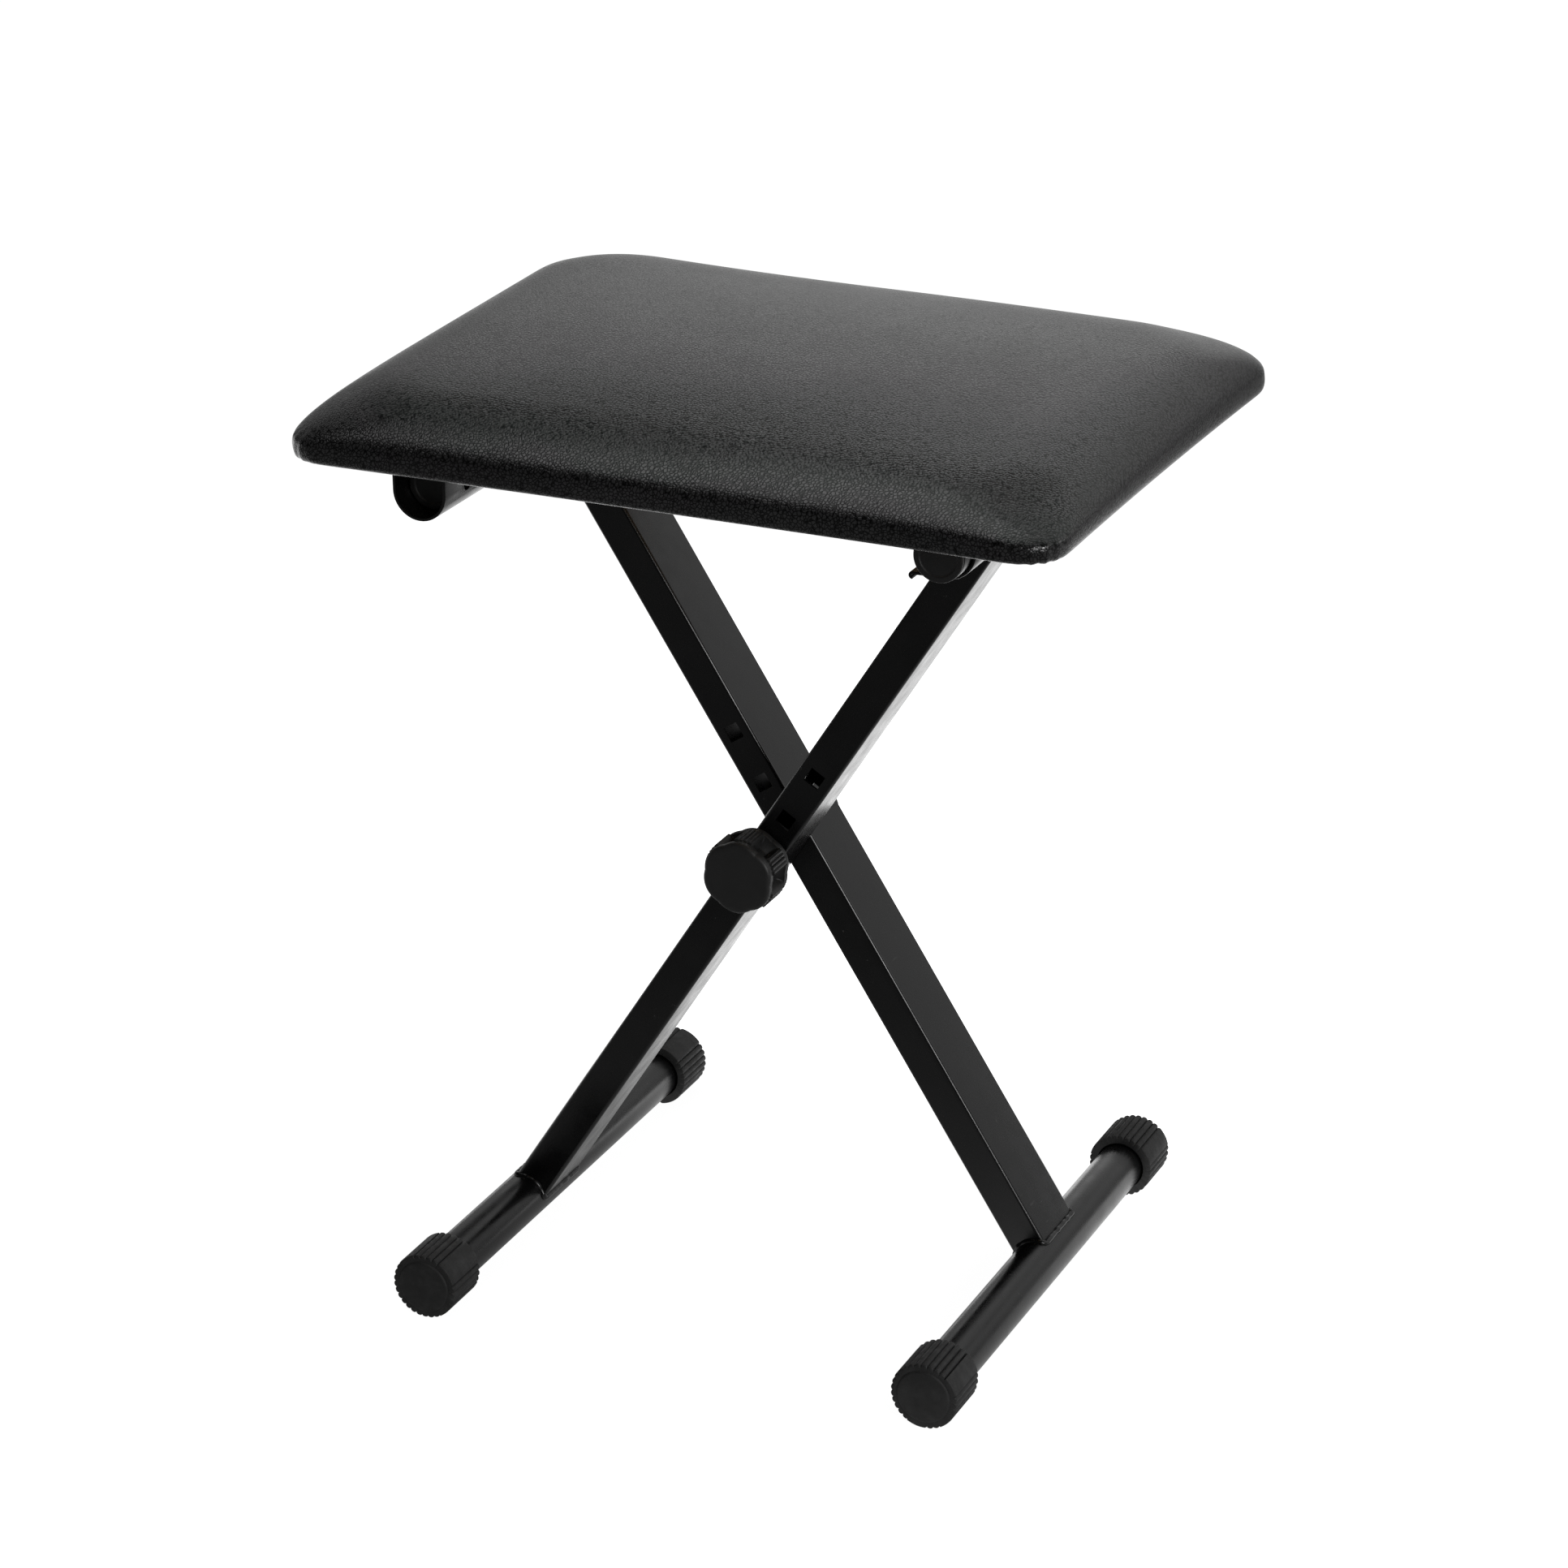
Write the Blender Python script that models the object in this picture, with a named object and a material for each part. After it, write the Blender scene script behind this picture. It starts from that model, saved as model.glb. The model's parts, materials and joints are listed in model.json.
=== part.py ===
"""Folding stool: two crossed legs on floor bars, a clamp knob at the crossing and a padded seat.

Units are metres and +Z is up. The seat's long side runs along X, its short side along Y, and the
front is towards -Y. The origin is on the floor under the middle of the seat.
"""

import math

import bmesh
import bpy
from mathutils import Matrix

# Crossed legs, rectangular steel tube
LEG_ANGLE = math.radians(57.5)
LEG_WIDTH = 0.020
LEG_DEPTH = 0.040
LEG_WALL = 0.0015
LEG_CORNER = 0.002
BAR_TO_BOLT = 0.263
BOLT_TO_TOP = 0.250
HOLE_PITCH = 0.030
HOLE_COUNT = 3

# Round tubes: floor bars and the tubes that carry the seat
TUBE_RADIUS = 0.0127
TUBE_WALL = 0.0015
BAR_LENGTH = 0.300
TOP_TUBE_LENGTH = 0.248

# Ribbed rubber caps on the floor bars
CAP_RADIUS = 0.0180
CAP_LENGTH = 0.030
CAP_END_WALL = 0.004
CAP_FOOT_CUT = 0.0005
CAP_DISC_RADIUS = 0.0150
CAP_DISC_STEP = 0.0008
CAP_CHAMFER = 0.001
RIB_COUNT = 28
RIB_DEPTH = 0.0011
FOOT_SMOOTH_ANGLE = math.radians(20)

# Plastic plugs in the top tubes
PLUG_FLANGE = 0.0025
PLUG_SPIGOT = 0.012
PLUG_ROUND = 0.0008

# Carriage bolt, washers and clamp knob at the crossing
BOLT_RADIUS = 0.004
BOLT_HEAD_RADIUS = 0.0095
BOLT_HEAD_HEIGHT = 0.0045
NECK_LENGTH = 0.0045
SPACER_RADIUS = 0.0095
SPACER_THICKNESS = 0.0010
WASHER_RADIUS = 0.0115
WASHER_THICKNESS = 0.0012
KNOB_DEPTH = 0.024
KNOB_DISC_RADIUS = 0.0186
KNOB_PAD_RADIUS = 0.0203
KNOB_POCKET_RADIUS = 0.0155
KNOB_RIM = 0.0035
KNOB_CHAMFER = 0.0018
KNOB_LOBES = 6
KNOB_FIRST_PAD = math.radians(84)
KNOB_PAD_SHARE = 0.5
KNOB_FLANK_SHARE = 0.2
KNOB_FLOOR = 0.006
NUT_FLAT_RADIUS = 0.0065
NUT_HEIGHT = 0.0065

# Seat: plywood board, foam and a stretched cover with a hem under the board
SEAT_LENGTH = 0.409
SEAT_WIDTH = 0.318
SEAT_EDGE_HEIGHT = 0.008
SEAT_EDGE_TUCK = 0.006
SHOULDER_WIDTH = 0.030
SHOULDER_RISE = 0.022
SHOULDER_POWER = 2.5
CROWN_RISE = 0.009
SEAT_CORNER = 0.024
CORNER_GROWTH = 1.6
CORNER_LIMIT = 0.98
SIDE_DRAW_IN = 0.002
CROWN_SHARES = (3.4, 2.4, 1.6, 1.0, 0.6, 0.32, 0.13, 0.035, 0)
COVER_SKIN = 0.001
HEM_WIDTH = 0.010
BOARD_THICKNESS = 0.009
BOARD_INSET = 0.011
BOARD_CORNER = 0.016

# Sheet brackets under the board
SHEET = 0.0015
CHANNEL_HEM_GAP = 0.001
CHANNEL_EAR = 0.017
WINDOW_MARGIN = 0.0015
PIN_HOLE_RADIUS = 0.0035
PIN_HOLE_SETBACK = 0.023
HOOK_WIDTH = 0.030
HOOK_SETBACK = 0.012
HOOK_PLATE = 0.042
HOOK_ARM = 0.016
HOOK_LIP = 0.004

# Countersunk wood screws
SCREW_RADIUS = 0.0018
SCREW_HEAD_RADIUS = 0.0036
SCREW_HEAD_HEIGHT = 0.0018
SCREW_LENGTH = 0.0095
EAR_SCREW_EDGE = 0.0077
EAR_SCREW_SETBACK = 0.021
HOOK_SCREW_EDGE = 0.0085
HOOK_SCREW_PITCH = 0.017

# Clearances
GAP = 0.0003
SWING_GAP = 0.0004
SLIDE_GAP = 0.0004

# How finely round shapes are divided
TUBE_SIDES = 32
BOLT_SIDES = 24
KNOB_SIDES = 60
SCREW_SIDES = 10
BEND_STEPS = 12
DOME_STEPS = 4
CORNER_STEPS = 4
SIDE_STEPS = 4
TUCK_STEPS = 3
SMOOTH_ANGLE = math.radians(35)

# Heights and places that follow from the sizes above
LEAN = math.pi / 2 - LEG_ANGLE
LEG_GAP = SPACER_THICKNESS + 2 * GAP
LEG_OFFSET = (LEG_GAP + LEG_DEPTH) / 2
LEG_OUTER_FACE = LEG_GAP / 2 + LEG_DEPTH
NECK_SIDE = 2 * BOLT_RADIUS
HOLE_SIDE = NECK_SIDE + 2 * GAP
CAP_AXIS_HEIGHT = CAP_RADIUS - CAP_FOOT_CUT
BOLT_HEIGHT = CAP_AXIS_HEIGHT + BAR_TO_BOLT * math.sin(LEG_ANGLE)
TOP_X = BOLT_TO_TOP * math.cos(LEG_ANGLE)
TOP_HEIGHT = BOLT_HEIGHT + BOLT_TO_TOP * math.sin(LEG_ANGLE)
PLATE_UNDERSIDE = TOP_HEIGHT + TUBE_RADIUS + SLIDE_GAP
PLATE_TOP = PLATE_UNDERSIDE + SHEET
BOARD_UNDERSIDE = PLATE_TOP + GAP
BOARD_TOP = BOARD_UNDERSIDE + BOARD_THICKNESS
SEAT_UNDERSIDE = BOARD_UNDERSIDE - GAP - COVER_SKIN
HALF_LENGTH = SEAT_LENGTH / 2
HALF_WIDTH = SEAT_WIDTH / 2
TOP_TUBE_END = TOP_TUBE_LENGTH / 2 + GAP + PLUG_FLANGE
CHANNEL_INNER = TUBE_RADIUS + SWING_GAP
CHANNEL_OUTER = CHANNEL_INNER + SHEET
CHANNEL_HALF = HALF_WIDTH - SEAT_EDGE_TUCK - HEM_WIDTH - SIDE_DRAW_IN - CHANNEL_HEM_GAP
HOOK_Y = TOP_TUBE_END - HOOK_SETBACK - HOOK_WIDTH / 2

BLACK_PAINT = ("black_paint", (0.012, 0.012, 0.013), 0.38, 0.0)
BLACK_RUBBER = ("black_rubber", (0.014, 0.014, 0.014), 0.75, 0.0)
BLACK_PLASTIC = ("black_plastic", (0.016, 0.016, 0.016), 0.55, 0.0)
ZINC = ("zinc_steel", (0.55, 0.55, 0.56), 0.35, 1.0)
PLYWOOD = ("plywood", (0.50, 0.35, 0.20), 0.70, 0.0)
FOAM = ("foam", (0.75, 0.72, 0.55), 0.90, 0.0)
VINYL = ("black_vinyl", (0.016, 0.016, 0.017), 0.45, 0.0)


def finish(look):
    """The material of one look, made the first time that it is asked for."""
    name, colour, roughness, metallic = look
    found = bpy.data.materials.get(name)
    if found:
        return found
    made = bpy.data.materials.new(name)
    made.use_nodes = True
    shader = made.node_tree.nodes["Principled BSDF"]
    shader.inputs["Base Color"].default_value = (*colour, 1)
    shader.inputs["Roughness"].default_value = roughness
    shader.inputs["Metallic"].default_value = metallic
    return made


def piece(name, shape, parent, look=None, location=(0, 0, 0), turn=0.0):
    """One named object from a bmesh. Without a look it is a hidden cutter."""
    mesh = bpy.data.meshes.new(name)
    shape.to_mesh(mesh)
    shape.free()
    made = bpy.data.objects.new(name, mesh)
    bpy.context.collection.objects.link(made)
    made.parent = parent
    made.location = location
    made.rotation_euler = (0, turn, 0)
    if look:
        mesh.materials.append(finish(look))
        mesh.shade_smooth()
        mesh.set_sharp_from_angle(angle=SMOOTH_ANGLE)
    else:
        made.hide_render = True
        made.display_type = "WIRE"
    return made


def joint_axis(name, location, turn=0.0):
    """An empty on a joint's axis, which carries the pieces that turn about it."""
    made = bpy.data.objects.new(name, None)
    bpy.context.collection.objects.link(made)
    made.location = location
    made.rotation_euler = (0, turn, 0)
    return made


def cut(target, cutter):
    modifier = target.modifiers.new(cutter.name, "BOOLEAN")
    modifier.operation = "DIFFERENCE"
    modifier.object = cutter


def loft(rings, around=False):
    """A closed shape through rings of equal count: capped at both ends, or joined round to the first."""
    shape = bmesh.new()
    loops = [[shape.verts.new(point) for point in ring] for ring in rings]
    pairs = list(zip(loops, loops[1:]))
    if around:
        pairs.append((loops[-1], loops[0]))
    else:
        shape.faces.new(loops[0])
        shape.faces.new(loops[-1])
    for first, second in pairs:
        for i in range(len(first)):
            shape.faces.new((first[i - 1], first[i], second[i], second[i - 1]))
    bmesh.ops.recalc_face_normals(shape, faces=shape.faces)
    return shape


def circle(radius, y, sides):
    """A ring about the Y axis."""
    steps = [2 * math.pi * i / sides for i in range(sides)]
    return [(radius * math.cos(a), y, radius * math.sin(a)) for a in steps]


def polygon(flat_radius, corners, y, sides):
    """A ring about the Y axis that follows a regular polygon with a flat side down."""
    ring = []
    for i in range(sides):
        angle = 2 * math.pi * i / sides
        from_flat = (angle + math.pi / 2 + math.pi / corners) % (2 * math.pi / corners) - math.pi / corners
        radius = flat_radius / math.cos(from_flat)
        ring.append((radius * math.cos(angle), y, radius * math.sin(angle)))
    return ring


def tube(radius, wall, length):
    half = length / 2
    inner = radius - wall
    ends = ((radius, -half), (radius, half), (inner, half), (inner, -half))
    return loft([circle(r, y, TUBE_SIDES) for r, y in ends], around=True)


def washer(radius, bore, thickness):
    ends = ((radius, 0), (radius, thickness), (bore, thickness), (bore, 0))
    return loft([circle(r, y, BOLT_SIDES) for r, y in ends], around=True)


def box(low, high):
    shape = bmesh.new()
    bmesh.ops.create_cube(shape, size=1)
    for vert in shape.verts:
        vert.co = [a + (b - a) * (c + 0.5) for a, b, c in zip(low, high, vert.co)]
    return shape


def rounded_rectangle(half_x, half_y, radius, z, corner_steps=CORNER_STEPS, side_steps=1):
    """A ring at height z: corner arcs, with the straight sides divided into side_steps."""
    ring = []
    corners = ((1, 1, 0), (-1, 1, 1), (-1, -1, 2), (1, -1, 3))
    for sign_x, sign_y, quarter in corners:
        for i in range(corner_steps + 1):
            angle = math.pi / 2 * (quarter + i / corner_steps)
            x = sign_x * (half_x - radius) + radius * math.cos(angle)
            y = sign_y * (half_y - radius) + radius * math.sin(angle)
            ring.append((x, y, z))
        next_x, next_y, _ = corners[(quarter + 1) % 4]
        last = ring[-1]
        turn = math.pi / 2 * (quarter + 1)
        goal = (next_x * (half_x - radius) + radius * math.cos(turn),
                next_y * (half_y - radius) + radius * math.sin(turn))
        for i in range(1, side_steps):
            share = i / side_steps
            ring.append((last[0] + (goal[0] - last[0]) * share, last[1] + (goal[1] - last[1]) * share, z))
    return ring


def extruded(outline, y_low, y_high):
    """A closed prism from an outline of (x, z) points, along Y."""
    return loft([[(x, y, z) for x, z in outline] for y in (y_low, y_high)])


def sheet_outline(path, thickness):
    """The outline of a bent sheet: the path of one face, and the other face on the path's right."""
    other = []
    for i, point in enumerate(path):
        before = path[max(i - 1, 0)]
        after = path[min(i + 1, len(path) - 1)]
        sides = []
        for start, end in ((before, point), (point, after)):
            length = math.dist(start, end)
            if length > 0:
                sides.append(((end[1] - start[1]) / length, (start[0] - end[0]) / length))
        normal = [sum(side[k] for side in sides) / len(sides) for k in (0, 1)]
        reach = thickness / (normal[0] ** 2 + normal[1] ** 2)
        other.append((point[0] + normal[0] * reach, point[1] + normal[1] * reach))
    return path + other[::-1]


def arc(radius, start, end, steps):
    """Points (x, z) on an arc about the origin, from one angle in degrees to another."""
    turns = [math.radians(start + (end - start) * i / steps) for i in range(steps + 1)]
    return [(radius * math.cos(a), radius * math.sin(a)) for a in turns]


def cap_ring(radius, rib_depth, y):
    """A ring of the rubber cap, with ribs all round but for the smooth flat foot at the bottom."""
    ring = []
    for i in range(2 * RIB_COUNT):
        from_bottom = (2 * math.pi * (i + 0.5) / (2 * RIB_COUNT) + math.pi) % (2 * math.pi) - math.pi
        groove = i % 2 == 0 and abs(from_bottom) > FOOT_SMOOTH_ANGLE
        r = radius - (rib_depth if groove else 0)
        ring.append((r * math.sin(from_bottom), y, max(-r * math.cos(from_bottom), -CAP_AXIS_HEIGHT)))
    return ring


def floor_cap():
    """A cup that slips over the bar's end. Its closed end is at y = 0 and it opens towards +Y."""
    bore = TUBE_RADIUS + GAP
    return loft([
        cap_ring(CAP_DISC_RADIUS - CAP_DISC_STEP, 0, 0),
        cap_ring(CAP_DISC_RADIUS, 0, CAP_DISC_STEP),
        cap_ring(CAP_RADIUS - CAP_CHAMFER, RIB_DEPTH, CAP_DISC_STEP),
        cap_ring(CAP_RADIUS, RIB_DEPTH, CAP_DISC_STEP + CAP_CHAMFER),
        cap_ring(CAP_RADIUS, RIB_DEPTH, CAP_LENGTH),
        cap_ring(bore, 0, CAP_LENGTH),
        cap_ring(bore, 0, CAP_END_WALL),
    ])


def tube_plug():
    """A round plug whose flange covers the tube's end at y = 0 and whose spigot goes in along +Y."""
    spigot = TUBE_RADIUS - TUBE_WALL - GAP
    steps = (
        (TUBE_RADIUS - PLUG_ROUND, -PLUG_FLANGE),
        (TUBE_RADIUS, PLUG_ROUND - PLUG_FLANGE),
        (TUBE_RADIUS, 0),
        (spigot, 0),
        (spigot, PLUG_SPIGOT - PLUG_ROUND),
        (spigot - PLUG_ROUND, PLUG_SPIGOT),
    )
    return loft([circle(r, y, TUBE_SIDES) for r, y in steps])


def leg(name, axis, y):
    """A rectangular tube from bar to top tube, coped to both and punched with square holes."""
    inner = (LEG_WIDTH / 2 - LEG_WALL, LEG_DEPTH / 2 - LEG_WALL, max(LEG_CORNER - LEG_WALL, LEG_CORNER / 4))
    outer = (LEG_WIDTH / 2, LEG_DEPTH / 2, LEG_CORNER)
    low, high = -BAR_TO_BOLT, BOLT_TO_TOP
    ends = ((outer, low), (outer, high), (inner, high), (inner, low))
    made = piece(name, loft([rounded_rectangle(*size, z) for size, z in ends], around=True),
                 axis, BLACK_PAINT, (0, y, 0))
    cope = TUBE_RADIUS + GAP
    for end, z in (("foot", low), ("head", high)):
        shape = loft([circle(cope, side * LEG_DEPTH, TUBE_SIDES) for side in (-1, 1)])
        cut(made, piece(f"{name}_{end}_cope", shape, axis, None, (0, y, z)))
    half = HOLE_SIDE / 2
    holes = piece(f"{name}_holes", box((-half, -LEG_DEPTH, -half), (half, LEG_DEPTH, half)),
                  axis, None, (0, y, 0))
    row = holes.modifiers.new("row", "ARRAY")
    row.count = HOLE_COUNT
    row.use_relative_offset = False
    row.use_constant_offset = True
    row.constant_offset_displace = (0, 0, HOLE_PITCH)
    cut(made, holes)


def frame_side(prefix, lean, side):
    """One leg with its floor bar, caps, top tube and plugs, on an empty at the crossing bolt."""
    axis = joint_axis(f"{prefix}_frame_axis", (0, 0, BOLT_HEIGHT), lean)
    leg(f"{prefix}_leg", axis, side * LEG_OFFSET)
    bar_place = (0, 0, -BAR_TO_BOLT)
    piece(f"{prefix}_floor_bar", tube(TUBE_RADIUS, TUBE_WALL, BAR_LENGTH), axis, BLACK_PAINT, bar_place)
    top_place = (0, 0, BOLT_TO_TOP)
    piece(f"{prefix}_top_tube", tube(TUBE_RADIUS, TUBE_WALL, TOP_TUBE_LENGTH), axis, BLACK_PAINT, top_place)
    for end, sign in (("near", -1), ("far", 1)):
        cap = floor_cap()
        plug = tube_plug()
        if sign > 0:
            bmesh.ops.scale(cap, vec=(1, -1, 1), verts=cap.verts)
            bmesh.ops.reverse_faces(cap, faces=cap.faces)
            bmesh.ops.scale(plug, vec=(1, -1, 1), verts=plug.verts)
            bmesh.ops.reverse_faces(plug, faces=plug.faces)
        cap_y = sign * (BAR_LENGTH / 2 + GAP + CAP_END_WALL)
        piece(f"{prefix}_bar_cap_{end}", cap, axis, BLACK_RUBBER, (0, cap_y, -BAR_TO_BOLT), -lean)
        plug_y = sign * (TOP_TUBE_LENGTH / 2 + GAP)
        piece(f"{prefix}_tube_plug_{end}", plug, axis, BLACK_PLASTIC, (0, plug_y, BOLT_TO_TOP))
    return axis


def carriage_bolt(axis, tip_y):
    """A domed head behind the rear leg, a square neck in its hole and a shank through to the knob."""
    seat_y = LEG_OUTER_FACE + GAP
    dome = [(BOLT_HEAD_RADIUS * math.cos(a), seat_y + BOLT_HEAD_HEIGHT * math.sin(a))
            for a in (math.pi / 2 * step / DOME_STEPS for step in reversed(range(DOME_STEPS)))]
    rings = [circle(r, y, BOLT_SIDES) for r, y in dome]
    rings.append(polygon(NECK_SIDE / 2, 4, seat_y, BOLT_SIDES))
    rings.append(polygon(NECK_SIDE / 2, 4, seat_y - NECK_LENGTH, BOLT_SIDES))
    chamfer = BOLT_RADIUS / 4
    for r, y in ((BOLT_RADIUS, seat_y - NECK_LENGTH), (BOLT_RADIUS, tip_y + chamfer),
                 (BOLT_RADIUS - chamfer, tip_y)):
        rings.append(circle(r, y, BOLT_SIDES))
    piece("carriage_bolt", loft(rings), axis, ZINC)


def knob_ring(depth):
    """A ring of the knob's grip: pads at the full radius, sloping flanks and pockets between them."""
    ring = []
    lobe = 2 * math.pi / KNOB_LOBES
    for i in range(KNOB_SIDES):
        angle = 2 * math.pi * i / KNOB_SIDES
        from_pad = abs((angle - KNOB_FIRST_PAD + lobe / 2) % lobe - lobe / 2) / (lobe / 2)
        share = min(max((from_pad - KNOB_PAD_SHARE) / KNOB_FLANK_SHARE, 0), 1)
        radius = KNOB_PAD_RADIUS + (KNOB_POCKET_RADIUS - KNOB_PAD_RADIUS) * share
        ring.append((radius * math.cos(angle), depth, radius * math.sin(angle)))
    return ring


def clamp_knob(axis, front_y):
    """A six-lobed knob whose flat front is at depth 0, with a nut pocket and a blind bore behind."""
    back = KNOB_DEPTH
    pocket = NUT_FLAT_RADIUS + GAP
    pocket_floor = back - NUT_HEIGHT - 2 * GAP
    bore = BOLT_RADIUS + SWING_GAP
    rings = [
        circle(KNOB_DISC_RADIUS - KNOB_CHAMFER, 0, KNOB_SIDES),
        circle(KNOB_DISC_RADIUS, KNOB_CHAMFER, KNOB_SIDES),
        circle(KNOB_DISC_RADIUS, KNOB_RIM, KNOB_SIDES),
        knob_ring(KNOB_RIM + GAP),
        knob_ring(back - KNOB_RIM - GAP),
        circle(KNOB_DISC_RADIUS, back - KNOB_RIM, KNOB_SIDES),
        circle(KNOB_DISC_RADIUS, back, KNOB_SIDES),
        polygon(pocket, 6, back, KNOB_SIDES),
        polygon(pocket, 6, pocket_floor, KNOB_SIDES),
        circle(bore, pocket_floor, KNOB_SIDES),
        circle(bore, KNOB_FLOOR, KNOB_SIDES),
    ]
    piece("clamp_knob", loft(rings), axis, BLACK_PLASTIC, (0, front_y, 0))
    nut = loft([
        polygon(NUT_FLAT_RADIUS, 6, 0, BOLT_SIDES),
        polygon(NUT_FLAT_RADIUS, 6, NUT_HEIGHT, BOLT_SIDES),
        circle(bore, NUT_HEIGHT, BOLT_SIDES),
        circle(bore, 0, BOLT_SIDES),
    ], around=True)
    piece("knob_nut", nut, axis, ZINC, (0, front_y + pocket_floor + GAP, 0))


def crossing(front_axis, rear_axis):
    """What holds the legs together: bolt, spacer, washer and knob, in the order that they stack."""
    spacer = washer(SPACER_RADIUS, BOLT_RADIUS + SWING_GAP, SPACER_THICKNESS)
    piece("leg_spacer", spacer, front_axis, BLACK_PLASTIC, (0, -SPACER_THICKNESS / 2, 0))
    washer_y = -LEG_OUTER_FACE - GAP - WASHER_THICKNESS
    steel = washer(WASHER_RADIUS, BOLT_RADIUS + SWING_GAP, WASHER_THICKNESS)
    piece("knob_washer", steel, front_axis, ZINC, (0, washer_y, 0))
    front_y = washer_y - GAP - KNOB_DEPTH
    carriage_bolt(rear_axis, front_y + KNOB_FLOOR + GAP)
    clamp_knob(joint_axis("knob_axis", (0, 0, BOLT_HEIGHT)), front_y)


def cushion_profile():
    """(inset, height) from the crown's middle out to the fullest edge, under it and along the hem.

    The crown's rings lie at CROWN_SHARES of the shoulder's width in from the edge.
    """
    edge = SEAT_UNDERSIDE + SEAT_EDGE_HEIGHT

    def top(inset):
        steep = max(1 - inset / SHOULDER_WIDTH, 0) ** SHOULDER_POWER
        shoulder = SHOULDER_RISE * (1 - steep) ** (1 / SHOULDER_POWER)
        return edge + shoulder + CROWN_RISE * (1 - (1 - inset / HALF_WIDTH) ** 2)

    points = [(SHOULDER_WIDTH * share, top(SHOULDER_WIDTH * share)) for share in CROWN_SHARES]
    for step in range(1, TUCK_STEPS + 1):
        angle = math.pi / 2 * step / TUCK_STEPS
        points.append((SEAT_EDGE_TUCK * (1 - math.cos(angle)), edge - SEAT_EDGE_HEIGHT * math.sin(angle)))
    points.append((SEAT_EDGE_TUCK + HEM_WIDTH, SEAT_UNDERSIDE))
    return points


def shrunk(profile, distance):
    """The profile moved inwards by a distance, square to itself."""
    moved = []
    for i, (inset, height) in enumerate(profile):
        before = profile[max(i - 1, 0)]
        after = profile[min(i + 1, len(profile) - 1)]
        along = (after[0] - before[0], after[1] - before[1])
        length = math.hypot(*along)
        moved.append((inset - along[1] / length * distance, height + along[0] / length * distance))
    return moved


def cushion_ring(inset, height, above_edge):
    """A ring of the cushion. Corners widen up the crown, and the sides draw in between corners."""
    half_x, half_y = HALF_LENGTH - inset, HALF_WIDTH - inset
    radius = SEAT_CORNER + inset * (CORNER_GROWTH if above_edge else -1)
    radius = max(min(radius, half_y * CORNER_LIMIT), SEAT_CORNER / 4)
    ring = []
    for x, y, z in rounded_rectangle(half_x, half_y, radius, height, CORNER_STEPS, SIDE_STEPS):
        pull_x = 1 - SIDE_DRAW_IN / half_x * (1 - (y / half_y) ** 2)
        pull_y = 1 - SIDE_DRAW_IN / half_y * (1 - (x / half_x) ** 2)
        ring.append((x * pull_x, y * pull_y, z))
    return ring


def cushion_rings(profile):
    widest = min(range(len(profile)), key=lambda i: profile[i][0])
    return [cushion_ring(inset, height, i < widest) for i, (inset, height) in enumerate(profile)]


def screw_places():
    """(x, y) of each screw from the seat hinge: six through the channel's ears, two through each hook."""
    ear = CHANNEL_OUTER + CHANNEL_EAR - EAR_SCREW_EDGE
    row = CHANNEL_HALF - EAR_SCREW_SETBACK
    places = [(side * ear, row * step) for side in (-1, 1) for step in (-1, 0, 1)]
    hook_x = 2 * TOP_X + CHANNEL_INNER - HOOK_PLATE + HOOK_SCREW_EDGE
    for end in (-1, 1):
        places += [(hook_x, end * HOOK_Y + side * HOOK_SCREW_PITCH / 2) for side in (-1, 1)]
    return places


def ring_up(radius, z, x=0, y=0):
    """A ring about an upright axis."""
    steps = [2 * math.pi * i / SCREW_SIDES for i in range(SCREW_SIDES)]
    return [(x + radius * math.cos(a), y + radius * math.sin(a), z) for a in steps]


def screws(hinge, plate_low):
    """Countersunk screws flush with the brackets' undersides, and one cutter for all their holes."""
    holes = bmesh.new()
    for number, (x, y) in enumerate(screw_places(), 1):
        shank_top = SCREW_LENGTH - SCREW_RADIUS
        screw = loft([
            ring_up(SCREW_HEAD_RADIUS, 0),
            ring_up(SCREW_RADIUS, SCREW_HEAD_HEIGHT),
            ring_up(SCREW_RADIUS, shank_top),
            ring_up(SCREW_RADIUS / 4, SCREW_LENGTH),
        ])
        piece(f"bracket_screw_{number}", screw, hinge, ZINC, (x, y, plate_low))
        head, shank = SCREW_HEAD_RADIUS + GAP, SCREW_RADIUS + GAP
        hole = loft([
            ring_up(head, plate_low - SHEET, x, y),
            ring_up(head, plate_low, x, y),
            ring_up(shank, plate_low + SCREW_HEAD_HEIGHT, x, y),
            ring_up(shank, plate_low + SCREW_LENGTH + GAP, x, y),
        ])
        copy = bpy.data.meshes.new("screw_hole")
        hole.to_mesh(copy)
        hole.free()
        holes.from_mesh(copy)
        bpy.data.meshes.remove(copy)
    return piece("screw_holes", holes, hinge)


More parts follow.
